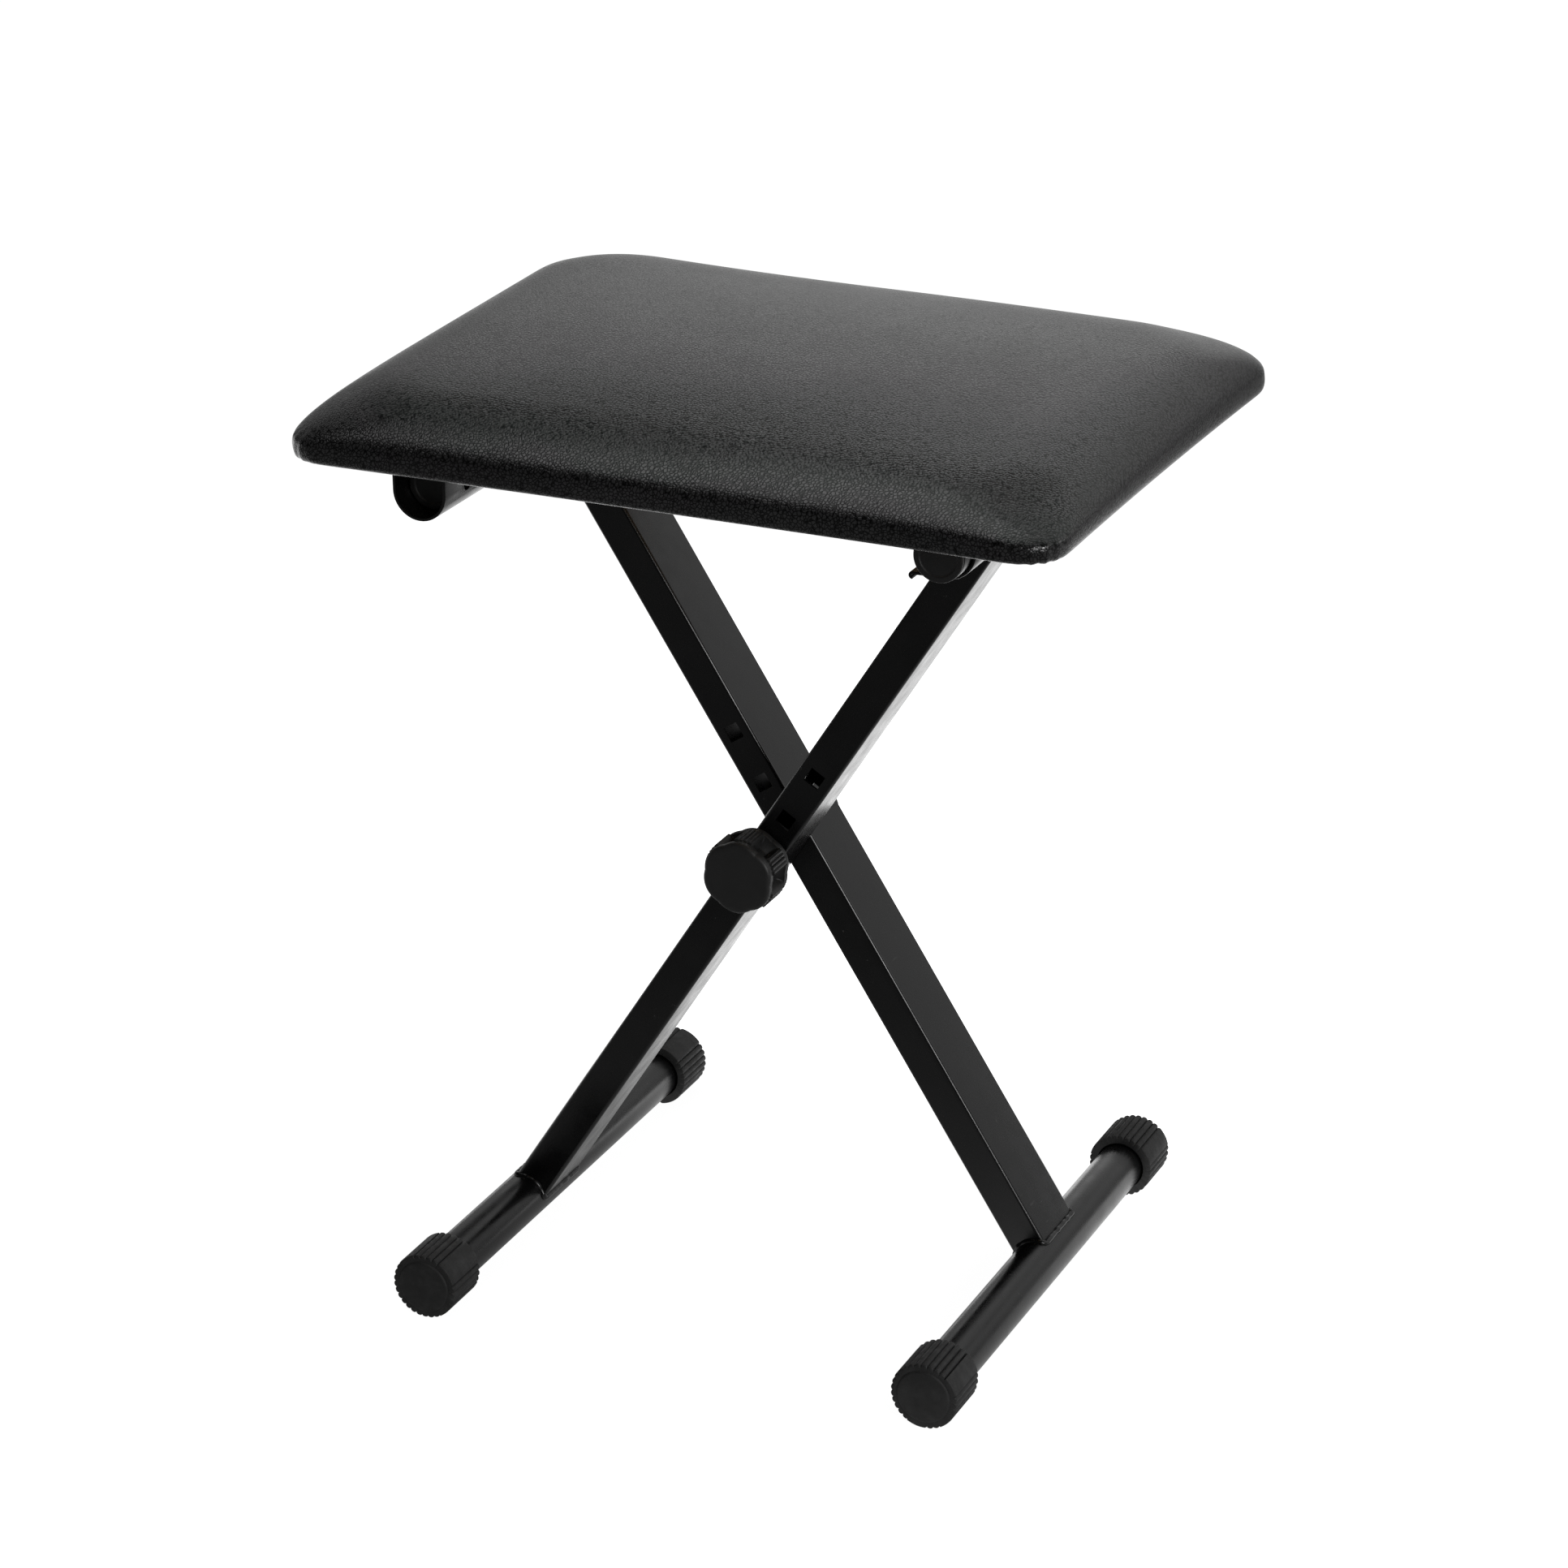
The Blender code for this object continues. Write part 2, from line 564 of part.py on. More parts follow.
def hinge_channel(hinge, ear_top):
    """A U channel round the rear top tube, with ears under the board, a window for the leg and pin holes."""
    ear_end = CHANNEL_OUTER + CHANNEL_EAR
    ear_low = ear_top - SHEET
    inside = [(CHANNEL_INNER, ear_top), *arc(CHANNEL_INNER, 0, -180, BEND_STEPS), (-CHANNEL_INNER, ear_top)]
    outside = arc(CHANNEL_OUTER, -180, 0, BEND_STEPS)
    left_ear = [(-ear_end, ear_top), (-ear_end, ear_low), (-CHANNEL_OUTER, ear_low)]
    right_ear = [(CHANNEL_OUTER, ear_low), (ear_end, ear_low), (ear_end, ear_top)]
    outline = inside + left_ear + outside + right_ear
    made = piece("hinge_channel", extruded(outline, -CHANNEL_HALF, CHANNEL_HALF), hinge, BLACK_PAINT)
    low = (-2 * CHANNEL_OUTER, LEG_OFFSET - LEG_DEPTH / 2 - WINDOW_MARGIN, -2 * CHANNEL_OUTER)
    high = (2 * CHANNEL_OUTER, LEG_OFFSET + LEG_DEPTH / 2 + WINDOW_MARGIN, WINDOW_MARGIN)
    cut(made, piece("leg_window", box(low, high), hinge))
    for end, sign in (("near", -1), ("far", 1)):
        drill = loft([circle(PIN_HOLE_RADIUS, side * 2 * CHANNEL_OUTER, SCREW_SIDES) for side in (-1, 1)])
        bmesh.ops.rotate(drill, matrix=Matrix.Rotation(math.pi / 2, 3, "Z"), verts=drill.verts)
        place = (0, sign * (CHANNEL_HALF - PIN_HOLE_SETBACK), 0)
        cut(made, piece(f"pin_hole_{end}", drill, hinge, None, place))
    return made


def seat_hook(name, hinge, y, plate_low):
    """A C-shaped catch round the front top tube, open towards the middle of the stool."""
    end_x = CHANNEL_INNER - HOOK_PLATE
    path = [(end_x, plate_low), (CHANNEL_INNER, plate_low)]
    path += arc(CHANNEL_INNER, 0, -90, BEND_STEPS // 2)
    path += [(-HOOK_ARM, -CHANNEL_INNER), (-HOOK_ARM - HOOK_LIP, -CHANNEL_INNER - HOOK_LIP / 2)]
    outline = sheet_outline(path[::-1], SHEET)
    shape = extruded(outline, -HOOK_WIDTH / 2, HOOK_WIDTH / 2)
    return piece(name, shape, hinge, BLACK_PAINT, (2 * TOP_X, y, 0))


def seat():
    """Board, foam and cover on an empty at the rear top tube, with the brackets that hold the tubes."""
    hinge = joint_axis("seat_hinge_axis", (-TOP_X, 0, TOP_HEIGHT))
    to_world = (TOP_X, 0, -TOP_HEIGHT)
    profile = cushion_profile()
    skin = shrunk(profile, COVER_SKIN)
    piece("seat_cover", loft(cushion_rings(profile) + cushion_rings(skin)[::-1]), hinge, VINYL, to_world)

    padding = shrunk(profile, COVER_SKIN + GAP)[:-1]
    side = BOARD_INSET - GAP
    pocket_size = (HALF_LENGTH - side, HALF_WIDTH - side, BOARD_CORNER + GAP)
    pocket = [rounded_rectangle(*pocket_size, z, CORNER_STEPS, SIDE_STEPS)
              for z in (padding[-1][1], BOARD_TOP + GAP)]
    piece("seat_foam", loft(cushion_rings(padding) + pocket), hinge, FOAM, to_world)

    board_size = (HALF_LENGTH - BOARD_INSET, HALF_WIDTH - BOARD_INSET, BOARD_CORNER)
    faces = [rounded_rectangle(*board_size, z) for z in (BOARD_UNDERSIDE, BOARD_TOP)]
    board = piece("seat_board", loft(faces), hinge, PLYWOOD, to_world)

    plate_low = PLATE_UNDERSIDE - TOP_HEIGHT
    brackets = [hinge_channel(hinge, PLATE_TOP - TOP_HEIGHT)]
    for end, sign in (("near", -1), ("far", 1)):
        brackets.append(seat_hook(f"seat_hook_{end}", hinge, sign * HOOK_Y, plate_low))
    holes = screws(hinge, plate_low)
    for drilled in [board, *brackets]:
        cut(drilled, holes)


def build():
    for old in list(bpy.data.objects):
        bpy.data.objects.remove(old)
    front_axis = frame_side("front", LEAN, -1)
    rear_axis = frame_side("rear", -LEAN, 1)
    crossing(front_axis, rear_axis)
    seat()


build()
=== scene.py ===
"""Looks of the folding stool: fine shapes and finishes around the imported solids, floor, light and camera.

Metres, +Z up. Every shape takes its place from the frame: the joints give the bolt and the seat hinge,
and the boxes of the solids give tube sizes and ends.
"""

import json
import math
import random

import bmesh
import bpy
import numpy as np
from mathutils import Matrix, Vector

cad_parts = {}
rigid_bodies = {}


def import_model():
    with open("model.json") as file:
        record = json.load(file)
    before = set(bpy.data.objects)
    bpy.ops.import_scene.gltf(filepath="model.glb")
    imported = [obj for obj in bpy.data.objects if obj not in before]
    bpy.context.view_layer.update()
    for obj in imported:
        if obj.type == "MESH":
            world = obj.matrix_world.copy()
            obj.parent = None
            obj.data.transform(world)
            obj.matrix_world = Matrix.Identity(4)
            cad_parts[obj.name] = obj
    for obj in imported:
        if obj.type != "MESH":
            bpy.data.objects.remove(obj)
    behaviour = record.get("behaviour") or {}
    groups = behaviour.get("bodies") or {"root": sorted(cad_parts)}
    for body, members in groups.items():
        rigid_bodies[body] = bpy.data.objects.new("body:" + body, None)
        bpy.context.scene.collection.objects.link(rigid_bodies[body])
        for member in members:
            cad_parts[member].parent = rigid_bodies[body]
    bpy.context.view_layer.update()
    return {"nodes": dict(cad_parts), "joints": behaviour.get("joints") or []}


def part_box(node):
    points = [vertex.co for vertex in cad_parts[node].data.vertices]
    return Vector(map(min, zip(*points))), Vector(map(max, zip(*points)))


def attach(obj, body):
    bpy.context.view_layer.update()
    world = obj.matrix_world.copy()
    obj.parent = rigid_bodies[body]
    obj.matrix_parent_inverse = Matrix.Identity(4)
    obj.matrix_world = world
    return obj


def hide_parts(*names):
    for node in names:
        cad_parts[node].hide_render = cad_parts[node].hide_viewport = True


for old in list(bpy.data.objects):
    bpy.data.objects.remove(old)
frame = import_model()

# Camera, fitted to the photograph's straight edges
PHOTO_PIXELS = 1932
FOCAL_PIXELS = 5684.4
SENSOR_MM = 36.0
CAMERA_PLACE = (0.91614, -2.01192, 1.16619)
CAMERA_AZIMUTH = math.radians(24.56)
CAMERA_ELEVATION = math.radians(22.14)
CAMERA_ROLL = math.radians(-0.30)

# Stage. A fade is (from, to, value before, value after) along an axis of the floor or of the view.
FLOOR_SIZE = 12
# The floor's glow in reflections is painted light: brighter just behind the stool, dimmer in front, far back
# and at the right.
FLOOR_NEAR = (-0.50, 0.38, 0.07, 1.9)
FLOOR_FAR = (0.60, 1.40, 1.0, 0.35)
FLOOR_RIGHT = (0.10, 0.45, 1.0, 0.35)
# A painted shadow of the stool on that glow, under the seat and between the bars.
SHADE_LEFT = (-0.50, -0.20, 0.0, 0.65)
SHADE_RIGHT = (0.05, 0.16, 1.0, 0.4)
SHADE_BACK = (0.05, 0.25, 1.0, 0.0)
FLOOR_CAMERA_SHARE = 0.85
FLOOR_GLOSSY_SHARE = 0.9
FLOOR_WHITE = 1.13
FLOOR_MATTE = 0.80
SKY_BACK = (-0.3, 0.85, 0.04, 1.42)
SKY_LEFT = (-0.60, -0.36, 0.45, 1.0)
SKY_RIGHT = (-0.25, 0.10, 1.0, 0.60)
SKY_TOP = (0.44, 0.55, 1.0, 0.04)
SKY_LOW = (0.0, 0.45, 0.50, 1.0)
WINDOW_LEFT = (-0.22, 0.06, 0.0, 0.70)
WINDOW_LOW = (0.46, 0.60, 0.0, 1.0)
SKY_FILL = 0.60
LAMP_AIM = (0, 0, 0.3)
SOFTBOXES = {  # place, width, height, watts
    "overhead": ((-0.4, 0.10, 1.9), 1.6, 0.7, 6.5),
    "side": ((1.9, 0.9, 1.4), 0.9, 1.2, 4),
    "edge": ((1.95, -1.35, 1.1), 0.8, 0.8, 24),
}

# Finishes: tones from dark to light, roughness from least to most, grain as (scale, depth, strength)
NOISE_LOW, NOISE_HIGH = 0.3, 0.7
PAINT_TONES, PAINT_TINT, PAINT_WORN_TONE = (0.0012, 0.0026), 0.05, 0.035
PAINT_ROUGHNESS, PAINT_WORN_ROUGHNESS = (0.22, 0.32), 0.2
PAINT_GRAIN = (750, 0.00004, 0.5)
SCUFF_STRETCH, SCUFF_LINES, SCUFF_AREAS = (420, 60, 420), (0.66, 0.74), (0.58, 0.70)
SPECK_SCALE, SPECK_EDGE, SPECK_STRENGTH = 95.0, (0.035, 0.055), 0.6
RUBBER_TONES, RUBBER_DUST = (0.007, 0.015), (0.45, 0.75)
RUBBER_ROUGHNESS, RUBBER_GRAIN = (0.55, 0.72), (2200, 0.00008, 0.5)
PLASTIC_TONES = (0.007, 0.011)
PLASTIC_ROUGHNESS, PLASTIC_GRAIN = (0.42, 0.55), (2600, 0.00008, 0.6)
ZINC_DARK, ZINC_LIGHT = (0.50, 0.51, 0.53, 1), (0.66, 0.66, 0.65, 1)
ZINC_ROUGHNESS, ZINC_STRETCH, ZINC_BUMP = (0.22, 0.42), (3000, 3000, 500), (0.00003, 0.5)
WOOD_DARK, WOOD_LIGHT = (0.36, 0.23, 0.12, 1), (0.58, 0.42, 0.25, 1)
WOOD_RING, WOOD_PLY = (0.30, 0.18, 0.09, 1), (0.26, 0.16, 0.09, 1)
WOOD_GRAIN_STRETCH, WOOD_RING_STRETCH = (6, 130, 6), (1.6, 22, 6)
WOOD_RING_FADE, WOOD_PLY_FADE = (0.55, 0.62, 0, 0.45), (0.5, 1.0, 0, 0.25)
PLY_SCALE, PLY_WANDER = 105.0, 0.4
WOOD_ROUGHNESS, WOOD_BUMP = (0.58, 0.75), (0.0002, 0.4)
# The vinyl's groove colour is painted shade, darkening the grooves between the pebbles.
VINYL_TONES, VINYL_TINT, VINYL_GROOVE_SHADE = (0.012, 0.016), 0.02, 0.001
PEBBLE_SCALE, PEBBLE_EDGE = 560.0, 0.22
PEBBLE_WANDER_SCALE, PEBBLE_WANDER = 260.0, 0.0012
VINYL_FINE_SHARE, VINYL_BUMP = 0.25, (0.00013, 0.55)
VINYL_ROUGHNESS, VINYL_SHINE = (0.20, 0.26), (0.30, 0.58)

# Legs
LEG_WIDTH = 0.020
LEG_WALL = 0.0015
LEG_CORNER = 0.0018
HOLE_SIDE = 0.0086
HOLE_PITCH = 0.030
HOLE_COUNT = 3

# Weld beads: a regular ripple, and a slower drift in thickness
WELD_RADIUS = 0.0017
WELD_SIDES = 12
WELD_CORNER_STEPS = 4
WELD_SIDE_STEPS = 24
WELD_RIPPLE = 0.0046
WELD_RIPPLE_SHARE = 0.05
WELD_DRIFTS = 5
WELD_DRIFT_RATE = 190
WELD_DRIFT_SHARE = 0.30

# Tubes, caps and plugs
FIT_GAP = 0.0003
TUBE_WALL = 0.0015
EDGE_ROUND = 0.0004
TUBE_SIDES = 96
DRILL_SIDES = 32
SMOOTH_ANGLE = 32
CURVE_SHARE = 0.45
FACE_CORE = 0.002
RIB_COUNT = 30
RIB_STEPS = 10
RIB_DEPTH = 0.0015
RIB_ROUND = 0.96
SMOOTH_ZONE = 34
CAP_END_WALL = 0.004
DISC_RADIUS = 0.0142
DISC_STEP = 0.0009
PLUG_DISH = 0.0006
PLUG_DISH_MARGIN = 0.0035
PLUG_RIM_WIDTH = 0.0028
PLUG_ROUND = 0.0009
PLUG_CORE = 0.001

# The cap's edges as (outwards, behind, share of the ribs), from its disc to its mouth
DISC_EDGE = ((-0.0010, 0, 0), (-0.0004, 0.0002, 0), (0, 0.0006, 0), (0.0002, DISC_STEP, 0))
CAP_FRONT_EDGE = ((-0.0011, 0, 0.7), (-0.0004, 0.0002, 1), (-0.0001, 0.0006, 1), (0, 0.0012, 1))
CAP_BACK_EDGE = ((0, -0.0008, 1), (-0.0003, -0.0002, 1), (-0.0010, 0, 0.6))
CAP_MOUTH_EDGE = ((0.0004, 0, 0), (0, -0.0004, 0))

# Middles of the smooth strips round each cap, in degrees
CAP_ZONES = {
    ("front", "near"): (35, 125, 318),
    ("front", "far"): (60, 200, 300),
    ("rear", "near"): (30, 318, 256),
    ("rear", "far"): (28, 150, 262),
}

# Knob
KNOB_SIDES = 360
KNOB_RIM_RADIUS = 0.0186
KNOB_FACE_RADIUS = 0.0160
KNOB_PAD_RADIUS = 0.0202
KNOB_POCKET_RADIUS = 0.0122
KNOB_NOTCH = 0.0003
KNOB_LOBE = 0.0011
KNOB_LOBES = 6
FIRST_PAD_ANGLE = 84.0
PAD_HALF_ANGLE = 13.0
PAD_FLANK_ANGLE = 5.0
PAD_RIDGES = 4
RIDGE_DEPTH = 0.0011
RIDGE_POWER = 0.7
POCKET_LIP = 0.0012
POCKET_SCOOP = 0.0035
KNOB_BEVEL = 0.0019
KNOB_BEVEL_STEPS = 6
FRONT_RIM = 0.0048
BACK_RIM = 0.0040
RIM_ROUND = 0.0006
RIM_STEP = 0.0001
GRIP_SHARES = (0.01, 0.04, 0.10, 0.18, 0.30, 0.50, 0.70, 0.82, 0.90, 0.96, 0.99)
NUT_RECESS_RADIUS = 0.0079
NUT_RECESS_DEPTH = 0.0072

# Bolt and washers
WASHER_BORE = 0.0044
WASHER_ROUND = 0.00025
BOLT_SIDES = 64
HEAD_STEPS = 12
HEAD_ROUND = 0.0003
NECK_RADIUS = 0.0042
NECK_LENGTH = 0.0045
SHANK_RADIUS = 0.0040
SHANK_START = 0.0050
POINT_LENGTH = 0.001

# Sheet brackets
SHEET = 0.0015
BEND_STEPS = 24
SHEET_BEVEL = 0.0003
HOOK_ARM = 0.016
HOOK_LIP = 0.004
HOOK_ROUND = 0.0012
PIN_HOLE_RADIUS = 0.0035
PIN_HOLE_SETBACK = 0.023
WINDOW_MARGIN = 0.0015

# Bracket screws, with shank, point and recess as shares of the head's radius
SCREW_NUMBERS = range(1, 11)
SCREW_HEAD = 0.0018
SCREW_EDGE = 0.0002
SCREW_SHANK = 0.5
SCREW_POINT = 0.12
SCREW_TURN = 37
RECESS_ARM = 0.62
RECESS_HALF = 0.00045
RECESS_DEPTH = 0.0011
SINK_BORE = 0.55
SINK_REACH = 0.004
CUT_MARGIN = 0.001

# Seat
SEAT_CORNER = 0.024
CORNER_GROWTH = 1.6
CORNER_RETURN = 2.6
CORNER_RETURN_FROM = 0.0180
SIDE_DRAW_IN = 0.002
HEM_INSET = 0.016
HEM_LIP = 0.002
STAPLE_PITCH = 0.026
STAPLE_INSET = 0.0028
STAPLE_END_ROOM = 0.05
STAPLE_WANDER = 0.003
STAPLE_TILT = 7
STAPLE_LOW, STAPLE_HIGH = (-0.0045, -0.0005, -0.0006), (0.0045, 0.0005, 0.0003)
STAPLE_ROUND = 0.00025
STAPLE_SEED = 4

# Cushion: how the cover wraps the board's edge as (inset, height), then shoulder, dome and corners
WRAP_PROFILE = ((0.0120, -0.0001), (0.0085, -0.0003), (0.0055, -0.0007), (0.0034, -0.0008), (0.0018, -0.0002),
                (0.0008, 0.0012), (0.0003, 0.0030), (0.0000, 0.0055))
SHOULDER_INSETS = (0.0002, 0.0008, 0.0020, 0.0040, 0.0072, 0.0115, 0.0175, 0.0240, 0.0310, 0.0385, 0.0465,
                   0.0560)
SHOULDER_BASE = 0.0075
SHOULDER_WIDTH = 0.055
SHOULDER_EASE = 2.7
SHOULDER_POWER = 2.0
SHOULDER_RISE = 0.0198
FULLER_BACK = 0.0050
FULLER_LEFT = 0.0095
DOME_RISE = 0.0125
DOME_POWER = 2.0
CORNER_DROOP = {(-1, -1): 0.0110, (1, -1): 0.0070, (1, 1): 0.0000, (-1, 1): -0.0010}
DROOP_POWER = 4
LONG_STEPS = 56
SHORT_STEPS = 44
FINE_LEVELS = 2
HELD_HEIGHT = 0.019
HELD_FADE = 0.006
CLOTH_QUALITY = 6
CLOTH_MASS = 0.3
CLOTH_STIFFNESS = 200
CLOTH_SHEAR_SHARE = 0.4
CLOTH_BENDING_SHARE = 0.1
CLOTH_PRESSURE = 4
SWELL_FRAMES = 20
SWELL_LIMIT = 0.005
SWELL_EVENING = 200
GATHER_SPREAD = 24
GATHER_HEIGHT = 0.021
GATHER_DEPTH = 0.0004
GATHER_PITCH = 17

BOLT = Vector(next(j["pos_m"] for j in frame["joints"] if j["name"] == "scissor_fold"))
HINGE = Vector(next(j["pos_m"] for j in frame["joints"] if j["name"] == "seat_tilt"))
LEAN = math.atan2(BOLT.x - HINGE.x, HINGE.z - BOLT.z)
BOLT_TO_TOP = (HINGE - BOLT).length


def middle(node):
    low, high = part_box(node)
    return (low + high) / 2


def size(node):
    low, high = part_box(node)
    return high - low


BAR_TO_BOLT = (Vector((middle("rear_floor_bar").x, 0, middle("rear_floor_bar").z)) - BOLT).length
TUBE_RADIUS = size("rear_floor_bar").z / 2
KNOB_DEPTH = size("clamp_knob").y
UPRIGHT = Matrix.Rotation(math.pi / 2, 4, "X")


# Mesh helpers

def bridge(shape, loops):
    """Quads between each loop and the next."""
    for first, second in zip(loops, loops[1:]):
        for i in range(len(first)):
            shape.faces.new((first[i - 1], first[i], second[i], second[i - 1]))


def loft(rings, around=False):
    """A closed shape through rings of equal count: capped at both ends, or joined round to the first."""
    shape = bmesh.new()
    loops = [[shape.verts.new(point) for point in ring] for ring in rings]
    if not around:
        shape.faces.new(loops[0])
        shape.faces.new(loops[-1])
    bridge(shape, loops + loops[:1] if around else loops)
    bmesh.ops.recalc_face_normals(shape, faces=shape.faces)
    return shape


def rounded(points, radius, steps=4, closed=True):
    """The outline with its corners turned into short curves."""
    result = []
    count = len(points)
    for i, point in enumerate(points):
        if not closed and i in (0, count - 1):
            result.append(tuple(point))
            continue
        corner = Vector(point)
        before = Vector(points[i - 1]) - corner
        after = Vector(points[(i + 1) % count]) - corner
        reach = min(radius, before.length * CURVE_SHARE, after.length * CURVE_SHARE)
        start = corner + before.normalized() * reach
        end = corner + after.normalized() * reach
        for step in range(steps + 1):
            t = step / steps
            result.append(tuple(start * (1 - t) ** 2 + corner * 2 * t * (1 - t) + end * t ** 2))
    return result


def circle(radius, y, sides):
    """A ring about the Y axis."""
    steps = [2 * math.pi * i / sides for i in range(sides)]
    return [(radius * math.cos(a), y, radius * math.sin(a)) for a in steps]


def lobed_ring(reach, y, sides):
    """A ring about the Y axis with a radius that depends on the angle in degrees."""
    turns = [(360 * i / sides, math.radians(360 * i / sides)) for i in range(sides)]
    return [(reach(angle) * math.cos(turn), y, reach(angle) * math.sin(turn)) for angle, turn in turns]


def lathe(profile, sides=TUBE_SIDES, around=True):
    return loft([circle(radius, y, sides) for radius, y in profile], around)


def rounded_rectangle(half_x, half_y, radius, z, corner_steps=8, side_steps=1):
    """A ring at height z: corner arcs, with the straight sides divided into side_steps."""
    corners = ((1, 1), (-1, 1), (-1, -1), (1, -1))

    def spot(quarter, share):
        sign_x, sign_y = corners[quarter % 4]
        angle = math.pi / 2 * (quarter + share)
        return Vector((sign_x * (half_x - radius) + radius * math.cos(angle),
                       sign_y * (half_y - radius) + radius * math.sin(angle), z))

    ring = []
    for quarter in range(4):
        ring += [spot(quarter, i / corner_steps) for i in range(corner_steps + 1)]
        last, goal = ring[-1], spot(quarter + 1, 0)
        ring += [last.lerp(goal, i / side_steps) for i in range(1, side_steps)]
    return ring


def prism(outline, y_low, y_high):
    """A closed prism along Y from an outline of (x, z) points."""
    return loft([[(x, y, z) for x, z in outline] for y in (y_low, y_high)])


def box(low, high):
    shape = bmesh.new()
    bmesh.ops.create_cube(shape, size=1)
    for vert in shape.verts:
        vert.co = [a + (b - a) * (c + 0.5) for a, b, c in zip(low, high, vert.co)]
    return shape


def arc(radius, start, end, steps):
    """Points (x, z) on an arc about the origin, between two angles in degrees."""
    turns = [math.radians(start + (end - start) * i / steps) for i in range(steps + 1)]
    return [(radius * math.cos(a), radius * math.sin(a)) for a in turns]


def moved(shape, matrix):
    bmesh.ops.transform(shape, matrix=matrix, verts=shape.verts)
    return shape


def mirrored(shape):
    """The shape mirrored along Y, with its faces still outwards."""
    moved(shape, Matrix.Scale(-1, 4, (0, 1, 0)))
    bmesh.ops.reverse_faces(shape, faces=shape.faces)
    return shape


def joined(shapes):
    """Several shapes as one."""
    whole = bmesh.new()
    for shape in shapes:
        part = bpy.data.meshes.new("part")
        shape.to_mesh(part)
        shape.free()
        whole.from_mesh(part)
        bpy.data.meshes.remove(part)
    return whole


def linked(name, data):
    made = bpy.data.objects.new(name, data)
    bpy.context.scene.collection.objects.link(made)
    return made


def to_object(name, shape):
    mesh = bpy.data.meshes.new(name)
    shape.to_mesh(mesh)
    shape.free()
    return linked(name, mesh)


def apply_modifiers(made):
    """The object with its modifiers' result as its own mesh."""
    depsgraph = bpy.context.evaluated_depsgraph_get()
    result = bpy.data.meshes.new_from_object(made.evaluated_get(depsgraph))
    made.modifiers.clear()
    made.data, old_mesh = result, made.data
    bpy.data.meshes.remove(old_mesh)


def cut(made, *cutters):
    """Boolean cuts, applied, and the cutters removed."""
    tools = [to_object("cutter", shape) for shape in cutters]
    for tool in tools:
        modifier = made.modifiers.new("cut", "BOOLEAN")
        modifier.object = tool
        modifier.solver = "EXACT"
    apply_modifiers(made)
    for tool in tools:
        bpy.data.objects.remove(tool)


def bevel(made, width, segments=2, angle=40):
    modifier = made.modifiers.new("edge", "BEVEL")
    modifier.width = width
    modifier.segments = segments
    modifier.limit_method = "ANGLE"
    modifier.angle_limit = math.radians(angle)
    apply_modifiers(made)


def place(made, look, slot, body, *nodes, angle=SMOOTH_ANGLE):
    """Gives a piece its shading, finish and body, and hides the solids it stands for."""
    made.data.shade_smooth()
    made.data.set_sharp_from_angle(angle=math.radians(angle))
    made.data.materials.clear()
    made.data.materials.append(look)
    if nodes:
        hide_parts(*nodes)
    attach(made, body)


# Shader helpers

class Nodes:
    """Short ways to add nodes to a shader tree."""

    def __init__(self, tree, coordinates):
        self.tree = tree
        self.coordinates = self.add("TexCoord").outputs[coordinates]

    def add(self, kind, inputs=None, **settings):
        made = self.tree.nodes.new("ShaderNode" + kind)
        for key, value in settings.items():
            setattr(made, key, value)
        for key, value in (inputs or {}).items():
            self.feed(made.inputs[key], value)
        return made

    def feed(self, socket, value):
        if isinstance(value, bpy.types.NodeSocket):
            self.tree.links.new(value, socket)
        else:
            socket.default_value = value

    def noise(self, scale, detail=3.0, roughness=0.5, vector=None):
        inputs = {"Vector": vector or self.coordinates, "Scale": scale, "Detail": detail,
                  "Roughness": roughness}
        return self.add("TexNoise", inputs).outputs["Fac"]

    def stretched(self, x, y, z):
        return self.add("Mapping", {"Vector": self.coordinates, "Scale": (x, y, z)}).outputs["Vector"]

    def span(self, value, low, high, out_low=0, out_high=1, **settings):
        inputs = {"Value": value, "From Min": low, "From Max": high, "To Min": out_low, "To Max": out_high}
        return self.add("MapRange", inputs, **settings).outputs["Result"]

    def fade(self, value, low, high, out_low, out_high):
        """A span that eases in and out."""
        return self.span(value, low, high, out_low, out_high, interpolation_type="SMOOTHSTEP")

    def vary(self, noise, low=0, high=1):
        """A noise's usual range, spread from low to high."""
        return self.span(noise, NOISE_LOW, NOISE_HIGH, low, high)

    def maths(self, operation, a, b):
        return self.add("Math", {0: a, 1: b}, operation=operation).outputs["Value"]

    def product(self, first, *others):
        for other in others:
            first = self.maths("MULTIPLY", first, other)
        return first

    def blend(self, share, first, second):
        return self.add("Mix", {"Factor": share, 6: first, 7: second}, data_type="RGBA").outputs[2]

    def bump(self, height, distance, strength):
        inputs = {"Height": height, "Distance": distance, "Strength": strength}
        return self.add("Bump", inputs).outputs["Normal"]


class Look(Nodes):
    """A material with its Principled shader."""

    def __init__(self, name, **settings):
        self.material = bpy.data.materials.new(name)
        self.material.use_nodes = True
        super().__init__(self.material.node_tree, "Object")
        self.shader = self.tree.nodes["Principled BSDF"]
        for socket, value in settings.items():
            self.set(socket, value)

    def set(self, socket, value):
        self.feed(self.shader.inputs[socket], value)

    def grain(self, scale, depth, strength, detail):
        """Fine noise as relief."""
        self.set("Normal", self.bump(self.noise(scale, detail), depth, strength))


def grey(value, tint=0.0):
    return (value, value, value * (1 + tint), 1)


def greys(tones, tint=0.0):
    return [grey(tone, tint) for tone in tones]


